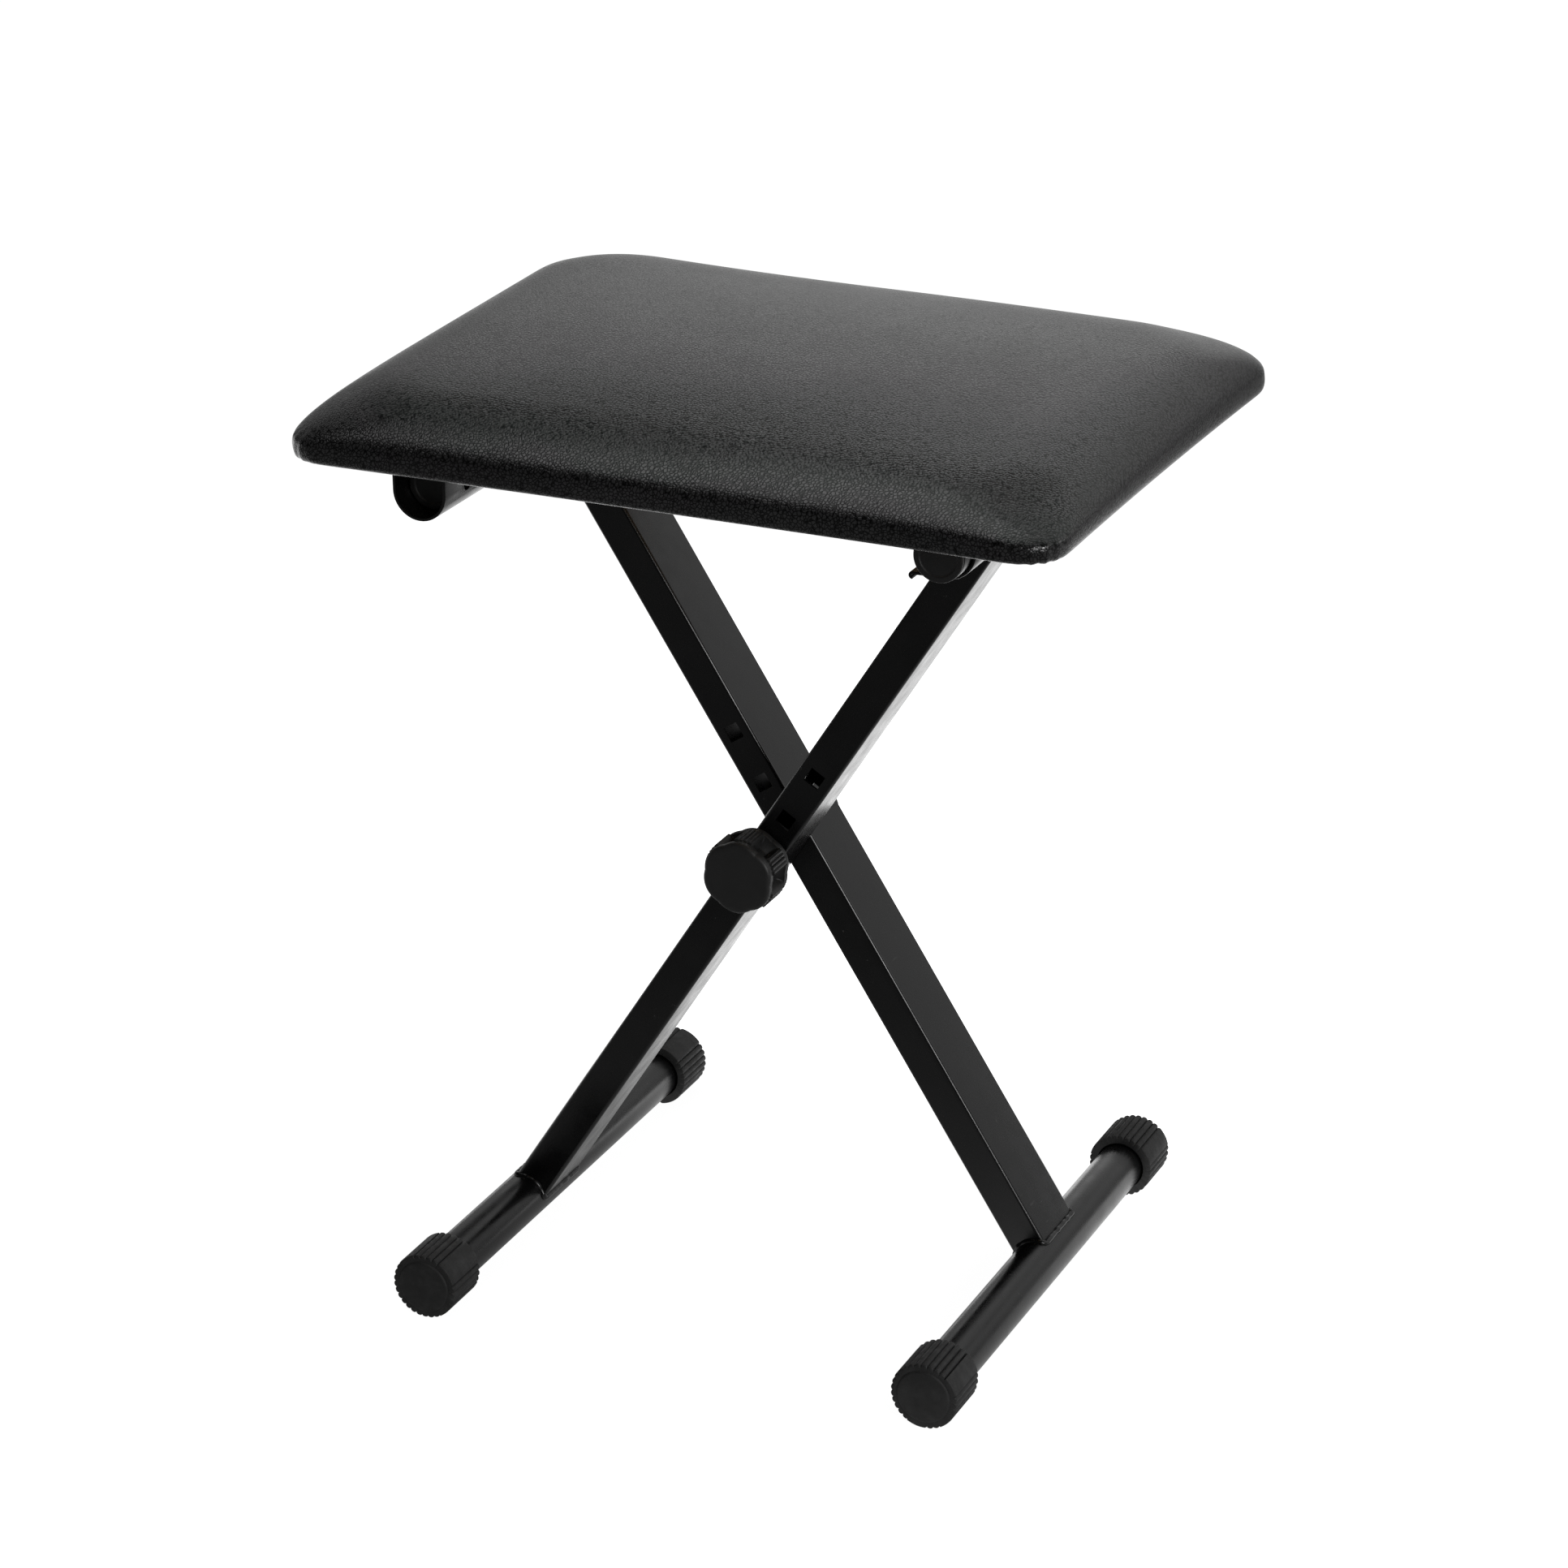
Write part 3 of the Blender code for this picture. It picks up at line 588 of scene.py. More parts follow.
def paint_look():
    """Satin black powder coat: fine peel, faint clouding, a few scuffs and specks."""
    look = Look("black_paint", IOR=1.50)
    lines = look.span(look.noise(1.0, 4, 0.6, look.stretched(*SCUFF_STRETCH)), *SCUFF_LINES)
    areas = look.span(look.noise(scale=14, detail=2), *SCUFF_AREAS)
    specks = look.add("TexVoronoi", {"Vector": look.coordinates, "Scale": SPECK_SCALE}).outputs["Distance"]
    dust = look.product(look.span(specks, *SPECK_EDGE, 1, 0), SPECK_STRENGTH)
    wear = look.maths("MAXIMUM", look.product(lines, areas), dust)
    base = look.blend(look.vary(look.noise(scale=40, detail=5)), *greys(PAINT_TONES, PAINT_TINT))
    look.set("Base Color", look.blend(wear, base, grey(PAINT_WORN_TONE)))
    rough = look.vary(look.noise(scale=90, detail=5), *PAINT_ROUGHNESS)
    look.set("Roughness", look.maths("ADD", rough, look.product(wear, PAINT_WORN_ROUGHNESS)))
    look.grain(*PAINT_GRAIN, detail=2)
    return look.material


def rubber_look():
    """Matte moulded rubber with a fine grain and dusty patches."""
    look = Look("black_rubber", IOR=1.50)
    dust = look.span(look.noise(120, 6, 0.6), *RUBBER_DUST)
    look.set("Base Color", look.blend(dust, *greys(RUBBER_TONES)))
    look.set("Roughness", look.vary(look.noise(scale=200, detail=4), *RUBBER_ROUGHNESS))
    look.grain(*RUBBER_GRAIN, detail=3)
    return look.material


def plastic_look():
    """Moulded plastic with a fine eroded texture."""
    look = Look("black_plastic", IOR=1.46)
    look.set("Base Color", look.blend(look.noise(scale=60, detail=4), *greys(PLASTIC_TONES)))
    look.set("Roughness", look.vary(look.noise(scale=150, detail=4), *PLASTIC_ROUGHNESS))
    look.grain(*PLASTIC_GRAIN, detail=2)
    return look.material


def zinc_look():
    """Bright zinc plating with faint cloudy patches."""
    look = Look("zinc_steel", Metallic=1.0)
    look.set("Base Color", look.blend(look.noise(scale=300, detail=4), ZINC_DARK, ZINC_LIGHT))
    look.set("Roughness", look.vary(look.noise(scale=500, detail=5), *ZINC_ROUGHNESS))
    streaks = look.noise(1.0, 3, 0.5, look.stretched(*ZINC_STRETCH))
    look.set("Normal", look.bump(streaks, *ZINC_BUMP))
    return look.material


def plywood_look():
    """Plywood: long grain on the faces and ply lines along the edge."""
    look = Look("plywood")
    grain = look.noise(1.0, 6, 0.65, look.stretched(*WOOD_GRAIN_STRETCH))
    rings = look.noise(1.0, 2, 0.5, look.stretched(*WOOD_RING_STRETCH))
    plies = look.add("TexWave", {"Vector": look.coordinates, "Scale": PLY_SCALE, "Distortion": PLY_WANDER},
                     bands_direction="Z").outputs["Fac"]
    wood = look.blend(look.span(grain, 0.35, 0.65), WOOD_DARK, WOOD_LIGHT)
    wood = look.blend(look.span(rings, *WOOD_RING_FADE), wood, WOOD_RING)
    look.set("Base Color", look.blend(look.span(plies, *WOOD_PLY_FADE), wood, WOOD_PLY))
    look.set("Roughness", look.vary(grain, *WOOD_ROUGHNESS))
    look.set("Normal", look.bump(grain, *WOOD_BUMP))
    return look.material


def vinyl_look():
    """Black artificial leather: pebble grain over a slow tone change, shiny on the pebbles, with painted
    shade darkening the grooves.
    """
    look = Look("black_vinyl", IOR=1.47)
    wander = look.add("TexNoise", {"Vector": look.coordinates, "Scale": PEBBLE_WANDER_SCALE, "Detail": 2.0})
    shift = look.add("VectorMath", {0: wander.outputs["Color"], "Scale": PEBBLE_WANDER}, operation="SCALE")
    bent = look.add("VectorMath", {0: look.coordinates, 1: shift.outputs[0]}, operation="ADD")
    pebbles = look.add("TexVoronoi", {"Vector": bent.outputs[0], "Scale": PEBBLE_SCALE},
                       feature="DISTANCE_TO_EDGE").outputs["Distance"]
    cells = look.fade(pebbles, 0.0, PEBBLE_EDGE, 0, 1)
    fine = look.product(look.noise(scale=2400, detail=3), VINYL_FINE_SHARE)
    base = look.blend(look.vary(look.noise(scale=9, detail=3)), *greys(VINYL_TONES, VINYL_TINT))
    # The grooves between the pebbles are darkened in the base colour: painted shade.
    look.set("Base Color", look.blend(cells, grey(VINYL_GROOVE_SHADE), base))
    look.set("Roughness", look.vary(look.noise(scale=22, detail=4), *VINYL_ROUGHNESS))
    look.set("Specular IOR Level", look.span(cells, 0.0, 1.0, *VINYL_SHINE))
    look.set("Normal", look.bump(look.maths("ADD", cells, fine), *VINYL_BUMP))
    return look.material


PAINT = paint_look()
RUBBER = rubber_look()
PLASTIC = plastic_look()
ZINC = zinc_look()
PLYWOOD = plywood_look()
VINYL = vinyl_look()


# Crossed frames

def leg_matrix(side):
    lean = LEAN if side == "front" else -LEAN
    return Matrix.Translation(BOLT) @ Matrix.Rotation(lean, 4, "Y")


def leg_tube(side):
    """A rectangular tube, coped to the round tubes and punched with square holes."""
    depth = size(f"{side}_leg").y
    y = middle(f"{side}_leg").y
    outer = (LEG_WIDTH / 2, depth / 2, LEG_CORNER)
    inner = (LEG_WIDTH / 2 - LEG_WALL, depth / 2 - LEG_WALL, LEG_CORNER / 3)
    ends = ((outer, -BAR_TO_BOLT), (outer, BOLT_TO_TOP), (inner, BOLT_TO_TOP), (inner, -BAR_TO_BOLT))
    made = to_object(f"{side}_leg_tube", loft([rounded_rectangle(*part, z) for part, z in ends], around=True))
    cope = TUBE_RADIUS + EDGE_ROUND
    copes = [moved(lathe([(cope, -depth), (cope, depth)], around=False), Matrix.Translation((0, 0, z)))
             for z in (-BAR_TO_BOLT, BOLT_TO_TOP)]
    half = HOLE_SIDE / 2
    holes = [box((-half, -depth, step * HOLE_PITCH - half), (half, depth, step * HOLE_PITCH + half))
             for step in range(HOLE_COUNT)]
    cut(made, *copes, *holes)
    made.data.transform(Matrix.Translation((0, y, 0)))
    made.data.transform(leg_matrix(side))
    place(made, PAINT, "black_paint", f"{side}_frame", f"{side}_leg")


def weld_bead(name, side, z, inwards):
    """A rippled bead round the seam where a leg meets a round tube. Inwards points up or down the leg."""
    random.seed(name)
    half_x, half_y = LEG_WIDTH / 2, size(f"{side}_leg").y / 2
    y = middle(f"{side}_leg").y
    seam = []
    for point in rounded_rectangle(half_x, half_y, LEG_CORNER, 0, WELD_CORNER_STEPS, WELD_SIDE_STEPS):
        rise = math.sqrt(TUBE_RADIUS ** 2 - min(abs(point.x), TUBE_RADIUS) ** 2)
        seam.append(Vector((point.x, point.y + y, z + inwards * rise)))
    rings = []
    travelled = 0.0
    wander = [random.uniform(-1, 1) for _ in range(WELD_DRIFTS)]
    turns = [2 * math.pi * k / WELD_SIDES for k in range(WELD_SIDES)]
    for i, point in enumerate(seam):
        following = seam[(i + 1) % len(seam)]
        along = (following - seam[i - 1]).normalized()
        travelled += (point - seam[i - 1]).length
        wave = math.sin(2 * math.pi * travelled / WELD_RIPPLE)
        drift = sum(w * math.sin(travelled * WELD_DRIFT_RATE * (k + 1) + k) for k, w in enumerate(wander))
        drift /= WELD_DRIFTS
        radius = WELD_RADIUS * (1 + WELD_RIPPLE_SHARE * wave + WELD_DRIFT_SHARE * drift)
        across = along.cross(Vector((0, 0, 1))).normalized()
        up = across.cross(along)
        rings.append([point + across * radius * math.cos(a) + up * radius * math.sin(a) for a in turns])
    made = to_object(name, moved(loft(rings, around=True), leg_matrix(side)))
    place(made, PAINT, "black_paint", f"{side}_frame", angle=60)


def tube_piece(side, node, name):
    length = size(node).y
    outer, inner = TUBE_RADIUS, TUBE_RADIUS - TUBE_WALL
    profile = [(outer, -length / 2), (outer, length / 2), (inner, length / 2), (inner, -length / 2)]
    made = to_object(name, moved(lathe(rounded(profile, EDGE_ROUND)), Matrix.Translation(middle(node))))
    place(made, PAINT, "black_paint", f"{side}_frame", node)


def rib_height(angle, zones):
    """Share of the rib depth that stands at an angle in degrees. Smooth zones stand in full."""
    for zone in zones:
        if abs((angle - zone + 180) % 360 - 180) < SMOOTH_ZONE / 2:
            return 1.0
    across = (angle / 360 * RIB_COUNT) % 1 * 2 - 1
    return math.sqrt(max(0.0, 1 - RIB_ROUND * across ** 2))


def floor_cap(side, end, zones):
    """A ribbed rubber cup over the bar's end, cut flat where it stands."""
    node = f"{side}_bar_cap_{end}"
    radius, length = size(node).x / 2, size(node).y
    sign = -1 if end == "near" else 1
    foot = middle(f"{side}_floor_bar").z
    bore = TUBE_RADIUS + EDGE_ROUND
    sides = RIB_COUNT * RIB_STEPS

    def ring(r, y, ribbed):
        points = lobed_ring(lambda angle: r - RIB_DEPTH * (1 - rib_height(angle, zones)) * ribbed, y, sides)
        return [(x, y, max(z, -foot)) for x, y, z in points]

    def edge(r, y, steps):
        return [(r + outwards, y + behind, ribbed) for outwards, behind, ribbed in steps]

    profile = [(FACE_CORE, 0, 0), *edge(DISC_RADIUS, 0, DISC_EDGE), *edge(radius, DISC_STEP, CAP_FRONT_EDGE),
               *edge(radius, length, CAP_BACK_EDGE), *edge(bore, length, CAP_MOUTH_EDGE),
               (bore, CAP_END_WALL, 0)]
    shape = loft([ring(*step) for step in profile])
    if sign > 0:
        shape = mirrored(shape)
    low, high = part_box(node)
    centre = Vector((middle(node).x, low.y if sign < 0 else high.y, foot))
    made = to_object(f"{side}_cap_{end}", moved(shape, Matrix.Translation(centre)))
    place(made, RUBBER, "black_rubber", f"{side}_frame", node, angle=40)


def tube_plug(side, end):
    """A plug with a rounded flange and a shallow dished face."""
    node = f"{side}_tube_plug_{end}"
    sign = -1 if end == "near" else 1
    length = size(node).y
    tube_end = size(f"{side}_top_tube").y / 2
    flange = abs(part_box(node)[0 if sign < 0 else 1].y) - tube_end - FIT_GAP
    spigot = TUBE_RADIUS - TUBE_WALL - EDGE_ROUND
    dish, back = -flange + PLUG_DISH, length - flange
    outline = [(PLUG_CORE, dish), (TUBE_RADIUS - PLUG_DISH_MARGIN, dish),
               (TUBE_RADIUS - PLUG_RIM_WIDTH, -flange), (TUBE_RADIUS, -flange), (TUBE_RADIUS, 0),
               (spigot, 0), (spigot, back), (PLUG_CORE, back)]
    shape = lathe(rounded(outline, PLUG_ROUND, steps=5, closed=False), around=False)
    if sign > 0:
        shape = mirrored(shape)
    centre = middle(f"{side}_top_tube") + Vector((0, sign * (tube_end + FIT_GAP), 0))
    made = to_object(f"{side}_plug_{end}", moved(shape, Matrix.Translation(centre)))
    place(made, PLASTIC, "black_plastic", f"{side}_frame", node)


for side in ("front", "rear"):
    leg_tube(side)
    weld_bead(f"{side}_bar_weld", side, -BAR_TO_BOLT, 1)
    weld_bead(f"{side}_top_weld", side, BOLT_TO_TOP, -1)
    tube_piece(side, f"{side}_floor_bar", f"{side}_bar")
    tube_piece(side, f"{side}_top_tube", f"{side}_seat_tube")
    for end in ("near", "far"):
        floor_cap(side, end, CAP_ZONES[side, end])
        tube_plug(side, end)


# Bolt, washers and knob at the crossing

def knob_radius(depth, angle):
    """The knob's radius at a depth behind its face and an angle in degrees."""
    lobe = 360 / KNOB_LOBES
    from_pad = abs((angle - FIRST_PAD_ANGLE + lobe / 2) % lobe - lobe / 2)
    between = min(max((from_pad - PAD_HALF_ANGLE) / PAD_FLANK_ANGLE, 0), 1)
    if depth < FRONT_RIM or depth > KNOB_DEPTH - BACK_RIM:
        swing = ((1 + math.cos(math.radians(from_pad / lobe * 360))) / 2) ** 0.5
        return KNOB_RIM_RADIUS - KNOB_NOTCH + KNOB_LOBE * swing
    along_pad = (from_pad + PAD_HALF_ANGLE) / (2 * PAD_HALF_ANGLE)
    ridge = abs(math.sin(math.pi * along_pad * PAD_RIDGES)) ** RIDGE_POWER
    pad = KNOB_PAD_RADIUS - RIDGE_DEPTH * (1 - ridge) * (from_pad < PAD_HALF_ANGLE)
    near_rim = min(depth - FRONT_RIM, KNOB_DEPTH - BACK_RIM - depth)
    scoop = min(near_rim / POCKET_SCOOP, 1.0)
    edge = KNOB_RIM_RADIUS - POCKET_LIP
    pocket = edge - (edge - KNOB_POCKET_RADIUS) * math.sin(scoop * math.pi / 2)
    return pad + (pocket - pad) * (3 * between ** 2 - 2 * between ** 3)


def clamp_knob():
    """A round-faced knob with six ridged grip pads, scooped pockets and a rim behind."""
    back = KNOB_DEPTH

    def ring(depth, shrink=0.0):
        return lobed_ring(lambda angle: knob_radius(depth, angle) - shrink, depth, KNOB_SIDES)

    rings = [circle(radius, 0, KNOB_SIDES) for radius in (FACE_CORE, KNOB_FACE_RADIUS - RIM_ROUND)]
    edge = KNOB_RIM_RADIUS - KNOB_FACE_RADIUS
    for step in range(1, KNOB_BEVEL_STEPS + 1):
        turn = math.pi / 2 * step / KNOB_BEVEL_STEPS
        rings.append(ring(KNOB_BEVEL * (1 - math.cos(turn)), edge * (1 - math.sin(turn))))
    rings += [ring(FRONT_RIM - RIM_ROUND), ring(FRONT_RIM - RIM_STEP, RIM_ROUND / 2)]
    grip = back - FRONT_RIM - BACK_RIM
    rings += [ring(FRONT_RIM + grip * share) for share in GRIP_SHARES]
    rings += [ring(back - BACK_RIM + RIM_STEP, RIM_ROUND / 2), ring(back - BACK_RIM + RIM_ROUND)]
    rings += [ring(back - RIM_ROUND), ring(back, RIM_ROUND)]
    rings += [circle(NUT_RECESS_RADIUS, back - depth, KNOB_SIDES) for depth in (0, NUT_RECESS_DEPTH)]
    front = Vector((BOLT.x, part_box("clamp_knob")[0].y, BOLT.z))
    made = to_object("knob", moved(loft(rings), Matrix.Translation(front)))
    place(made, PLASTIC, "black_plastic", "knob", "clamp_knob", angle=38)


def turned_washer(node, name, look, slot, body):
    low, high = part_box(node)
    radius, bore = (high.x - low.x) / 2, WASHER_BORE
    profile = rounded([(radius, low.y), (radius, high.y), (bore, high.y), (bore, low.y)], WASHER_ROUND)
    made = to_object(name, moved(lathe(profile), Matrix.Translation((BOLT.x, 0, BOLT.z))))
    place(made, look, slot, body, node)


def carriage_bolt():
    """A domed head behind the rear leg, with the neck and shank that go through."""
    low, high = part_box("carriage_bolt")
    radius = (high.x - low.x) / 2
    seat_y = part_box("rear_leg")[1].y + FIT_GAP
    height = high.y - seat_y
    turns = [math.pi / 2 * i / HEAD_STEPS for i in range(HEAD_STEPS)]
    dome = [(radius * math.cos(a), seat_y + height * math.sin(a)) for a in turns]
    profile = [(HEAD_ROUND, high.y), *dome[::-1], (radius - HEAD_ROUND, seat_y), (NECK_RADIUS, seat_y),
               (NECK_RADIUS, seat_y - NECK_LENGTH), (SHANK_RADIUS, seat_y - SHANK_START),
               (SHANK_RADIUS, low.y + POINT_LENGTH), (SHANK_RADIUS - POINT_LENGTH, low.y)]
    shape = lathe(profile, BOLT_SIDES, around=False)
    made = to_object("bolt", moved(shape, Matrix.Translation((BOLT.x, 0, BOLT.z))))
    place(made, ZINC, "zinc_steel", "rear_frame", "carriage_bolt")


clamp_knob()
carriage_bolt()
turned_washer("knob_washer", "washer", ZINC, "zinc_steel", "front_frame")
turned_washer("leg_spacer", "spacer", PLASTIC, "black_plastic", "front_frame")


# Brackets under the seat

def sheet_outline(path):
    """The outline of a bent sheet: the path of one face, and the other face on the path's right."""
    other = []
    for i, point in enumerate(path):
        before, after = path[max(i - 1, 0)], path[min(i + 1, len(path) - 1)]
        sides = []
        for start, end in ((before, point), (point, after)):
            length = math.dist(start, end)
            if length > 0:
                sides.append(((end[1] - start[1]) / length, (start[0] - end[0]) / length))
        normal = [sum(s[k] for s in sides) / len(sides) for k in (0, 1)]
        reach = SHEET / (normal[0] ** 2 + normal[1] ** 2)
        other.append((point[0] + normal[0] * reach, point[1] + normal[1] * reach))
    return path + other[::-1]


def hinge_channel():
    """The U channel round the rear top tube, with ears, a window for the leg and pin holes."""
    low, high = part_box("hinge_channel")
    outer = HINGE.z - low.z
    inner = outer - SHEET
    ear_end, ear_top = high.x - HINGE.x, high.z - HINGE.z
    ear_low = ear_top - SHEET
    inside = [(inner, ear_top), *arc(inner, 0, -180, BEND_STEPS), (-inner, ear_top)]
    outside = arc(outer, -180, 0, BEND_STEPS)
    left = [(-ear_end, ear_top), (-ear_end, ear_low), (-outer, ear_low)]
    right = [(outer, ear_low), (ear_end, ear_low), (ear_end, ear_top)]
    made = to_object("channel", prism(inside + left + outside + right, low.y, high.y))
    leg_low, leg_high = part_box("rear_leg")
    reach = 2 * outer
    window = box((-reach, leg_low.y - WINDOW_MARGIN, -reach),
                 (reach, leg_high.y + WINDOW_MARGIN, WINDOW_MARGIN))
    pin = [(PIN_HOLE_RADIUS, -reach), (PIN_HOLE_RADIUS, reach)]
    drills = [moved(lathe(pin, DRILL_SIDES, around=False),
                    Matrix.Translation((0, y, 0)) @ Matrix.Rotation(math.pi / 2, 4, "Z"))
              for y in (low.y + PIN_HOLE_SETBACK, high.y - PIN_HOLE_SETBACK)]
    cut(made, window, *drills)
    made.data.transform(Matrix.Translation((HINGE.x, 0, HINGE.z)))
    finish_bracket(made, "hinge_channel")


def seat_hook(end):
    """A C-shaped catch round the front top tube, open towards the middle of the stool."""
    node = f"seat_hook_{end}"
    low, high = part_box(node)
    tube = middle("front_top_tube")
    inner = high.x - tube.x - SHEET
    plate_low = high.z - tube.z - SHEET
    path = [(low.x - tube.x, plate_low), (inner, plate_low), *arc(inner, 0, -90, BEND_STEPS // 2)]
    path = rounded(path, HOOK_ROUND, closed=False)
    roll = HOOK_LIP / 2
    tip_x, tip_z = -HOOK_ARM - HOOK_LIP + roll, -inner - roll
    path += [(tip_x + x, tip_z + z) for x, z in arc(roll, 90, 270, BEND_STEPS // 2)]
    made = to_object(f"hook_{end}", prism(sheet_outline(path[::-1]), low.y, high.y))
    made.data.transform(Matrix.Translation((tube.x, 0, tube.z)))
    finish_bracket(made, node)


def screw_place(number):
    """A screw's head radius, its length and the place of its head."""
    low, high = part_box(f"bracket_screw_{number}")
    centre = (low + high) / 2
    return (high.x - low.x) / 2, high.z - low.z, Matrix.Translation((centre.x, centre.y, low.z))


def finish_bracket(made, node):
    """Countersinks for the screws, softened edges and paint."""
    sinks = []
    for number in SCREW_NUMBERS:
        head, _, spot = screw_place(number)
        radius = head + FIT_GAP
        bore = radius * SINK_BORE
        profile = [(radius + CUT_MARGIN, -CUT_MARGIN), (radius, 0), (bore, SCREW_HEAD), (bore, SINK_REACH)]
        sinks.append(moved(lathe(profile, DRILL_SIDES, around=False), spot @ UPRIGHT))
    cut(made, joined(sinks))
    bevel(made, SHEET_BEVEL)
    place(made, PAINT, "black_paint", "seat", node)


def wood_screw(number):
    """A countersunk screw with a cross recess in its head."""
    radius, length, spot = screw_place(number)
    shank = radius * SCREW_SHANK
    profile = [(radius - SCREW_EDGE, 0), (radius, SCREW_EDGE), (shank, SCREW_HEAD),
               (shank, length - SCREW_HEAD), (radius * SCREW_POINT, length)]
    made = to_object(f"screw_{number}", moved(lathe(profile, DRILL_SIDES, around=False), UPRIGHT))
    arm = radius * RECESS_ARM
    turn = Matrix.Rotation(math.radians(SCREW_TURN * number), 4, "Z")
    arms = ((arm, RECESS_HALF), (RECESS_HALF, arm))
    cut(made, *(moved(box((-a, -b, -CUT_MARGIN), (a, b, RECESS_DEPTH)), turn) for a, b in arms))
    made.data.transform(spot)
    place(made, ZINC, "zinc_steel", "seat", f"bracket_screw_{number}")


hinge_channel()
for end in ("near", "far"):
    seat_hook(end)
for number in SCREW_NUMBERS:
    wood_screw(number)


# Cushion

SEAT_LOW, SEAT_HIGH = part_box("seat_cover")
HALF_LENGTH = SEAT_HIGH.x + SIDE_DRAW_IN / 4
HALF_WIDTH = SEAT_HIGH.y + SIDE_DRAW_IN / 4


def side_point(half_along, half_across, radius, share):
    """A point on one side of a rounded rectangle, from one corner's middle to the next's."""
    straight = half_along - radius
    travelled = (2 * share - 1) * (straight + radius * math.pi / 4)
    past = abs(travelled) - straight
    if past <= 0:
        return travelled, half_across
    turn = past / radius
    along = math.copysign(straight + radius * math.sin(turn), travelled)
    return along, half_across - radius + radius * math.cos(turn)


def seat_ring(inset, radius, height, draw_in=SIDE_DRAW_IN):
    """A ring round the seat, evenly divided, with the sides drawn in between the corners."""
    half_x, half_y = HALF_LENGTH - inset, HALF_WIDTH - inset
    ring = []
    for side in range(4):
        halves, steps = ((half_x, half_y), LONG_STEPS) if side % 2 == 0 else ((half_y, half_x), SHORT_STEPS)
        for i in range(steps):
            u, v = side_point(*halves, radius, i / steps)
            x, y = ((u, -v), (v, u), (-u, v), (-v, -u))[side]
            pull_x = 1 - draw_in / half_x * (1 - (y / half_y) ** 2)
            pull_y = 1 - draw_in / half_y * (1 - (x / half_x) ** 2)
            ring.append(Vector((x * pull_x, y * pull_y, SEAT_LOW.z + height)))
    return ring


def crown_height(x, y, inset):
    """Height of the padding over the seat's lower edge: shoulder, dome, and corners that droop."""
    turn = (1 - max(1 - inset / SHOULDER_WIDTH, 0) ** SHOULDER_EASE) ** (1 / SHOULDER_POWER)
    far_x, far_y = abs(x) / HALF_LENGTH, abs(y) / HALF_WIDTH
    dome = DOME_RISE * (1 - min(far_x, 1) ** DOME_POWER) * (1 - min(far_y, 1) ** DOME_POWER)
    droop = CORNER_DROOP[math.copysign(1, x), math.copysign(1, y)] * (far_x * far_y) ** DROOP_POWER
    rise = SHOULDER_RISE + FULLER_BACK * y / HALF_WIDTH
    rise += FULLER_LEFT * (max(-x, 0) / HALF_LENGTH) ** 2
    return SHOULDER_BASE + (rise - droop) * turn + dome


def board_pocket():
    """Rings of the space for the board, from its ceiling down to the hem's inner edge."""
    board_low, board_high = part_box("seat_board")
    ceiling = board_high.z + FIT_GAP - SEAT_LOW.z
    lip = board_low.z - FIT_GAP - SEAT_LOW.z
    wall = SEAT_HIGH.x - board_high.x - FIT_GAP
    turns = [(3 * wall, ceiling), (wall, ceiling), (wall, lip), (HEM_INSET, lip), (HEM_INSET, 0),
             (HEM_INSET - HEM_LIP, 0)]
    profile = rounded(turns, FIT_GAP, steps=2, closed=False)
    return [seat_ring(inset, SEAT_CORNER - wall, height, 0) for inset, height in profile]


def cushion_start():
    """The padding before it swells: rings from the hem up to the shoulder, and an even grid on top."""
    rings = board_pocket()
    rings += [seat_ring(inset, SEAT_CORNER - inset, height) for inset, height in WRAP_PROFILE]
    for inset in SHOULDER_INSETS:
        radius = SEAT_CORNER + inset * CORNER_GROWTH - max(inset - CORNER_RETURN_FROM, 0) * CORNER_RETURN
        ring = seat_ring(inset, radius, 0)
        for point in ring:
            point.z += crown_height(point.x, point.y, inset)
        rings.append(ring)
    shape = bmesh.new()
    loops = [[shape.verts.new(point) for point in ring] for ring in rings]
    bridge(shape, loops)
    fill_grid(shape, loops[-1], crown_height)
    fill_grid(shape, loops[0])
    bmesh.ops.recalc_face_normals(shape, faces=shape.faces)
    return to_object("cushion", shape)


def fill_grid(shape, loop, height=None):
    """An even grid inside a ring, blended from its four sides, flat or at a height by place."""
    back_right, back_left = LONG_STEPS + SHORT_STEPS, 2 * LONG_STEPS + SHORT_STEPS
    front, right = loop[:LONG_STEPS + 1], loop[LONG_STEPS:back_right + 1]
    back, left = loop[back_right:back_left + 1][::-1], (loop[back_left:] + loop[:1])[::-1]
    rows = []
    for j in range(SHORT_STEPS + 1):
        row = []
        v = j / SHORT_STEPS
        for i in range(LONG_STEPS + 1):
            u = i / LONG_STEPS
            border = {0: front[i], SHORT_STEPS: back[i]}.get(j) or {0: left[j], LONG_STEPS: right[j]}.get(i)
            if border:
                row.append(border)
                continue
            across = front[i].co * (1 - v) + back[i].co * v + left[j].co * (1 - u) + right[j].co * u
            ends = [edge[0].co * (1 - u) + edge[-1].co * u for edge in (front, back)]
            spot = across - (ends[0] * (1 - v) + ends[1] * v)
            if height:
                spot.z = SEAT_LOW.z + height(spot.x, spot.y, HALF_WIDTH)
            row.append(shape.verts.new(spot))
        rows.append(row)
    for lower, upper in zip(rows, rows[1:]):
        for i in range(LONG_STEPS):
            shape.faces.new((lower[i], lower[i + 1], upper[i + 1], upper[i]))


def spread_evenly(mesh, values, rounds):
    """Each vertex's value averaged with its neighbours', several times over."""
    edges = np.array([edge.vertices[:] for edge in mesh.edges])
    ends = np.concatenate([edges, edges[:, ::-1]])
    count = np.bincount(ends[:, 0], minlength=len(values))[:, None]
    for _ in range(rounds):
        total = np.zeros_like(values)
        np.add.at(total, ends[:, 0], values[ends[:, 1]])
        values = (values + total / count) / 2
    return values


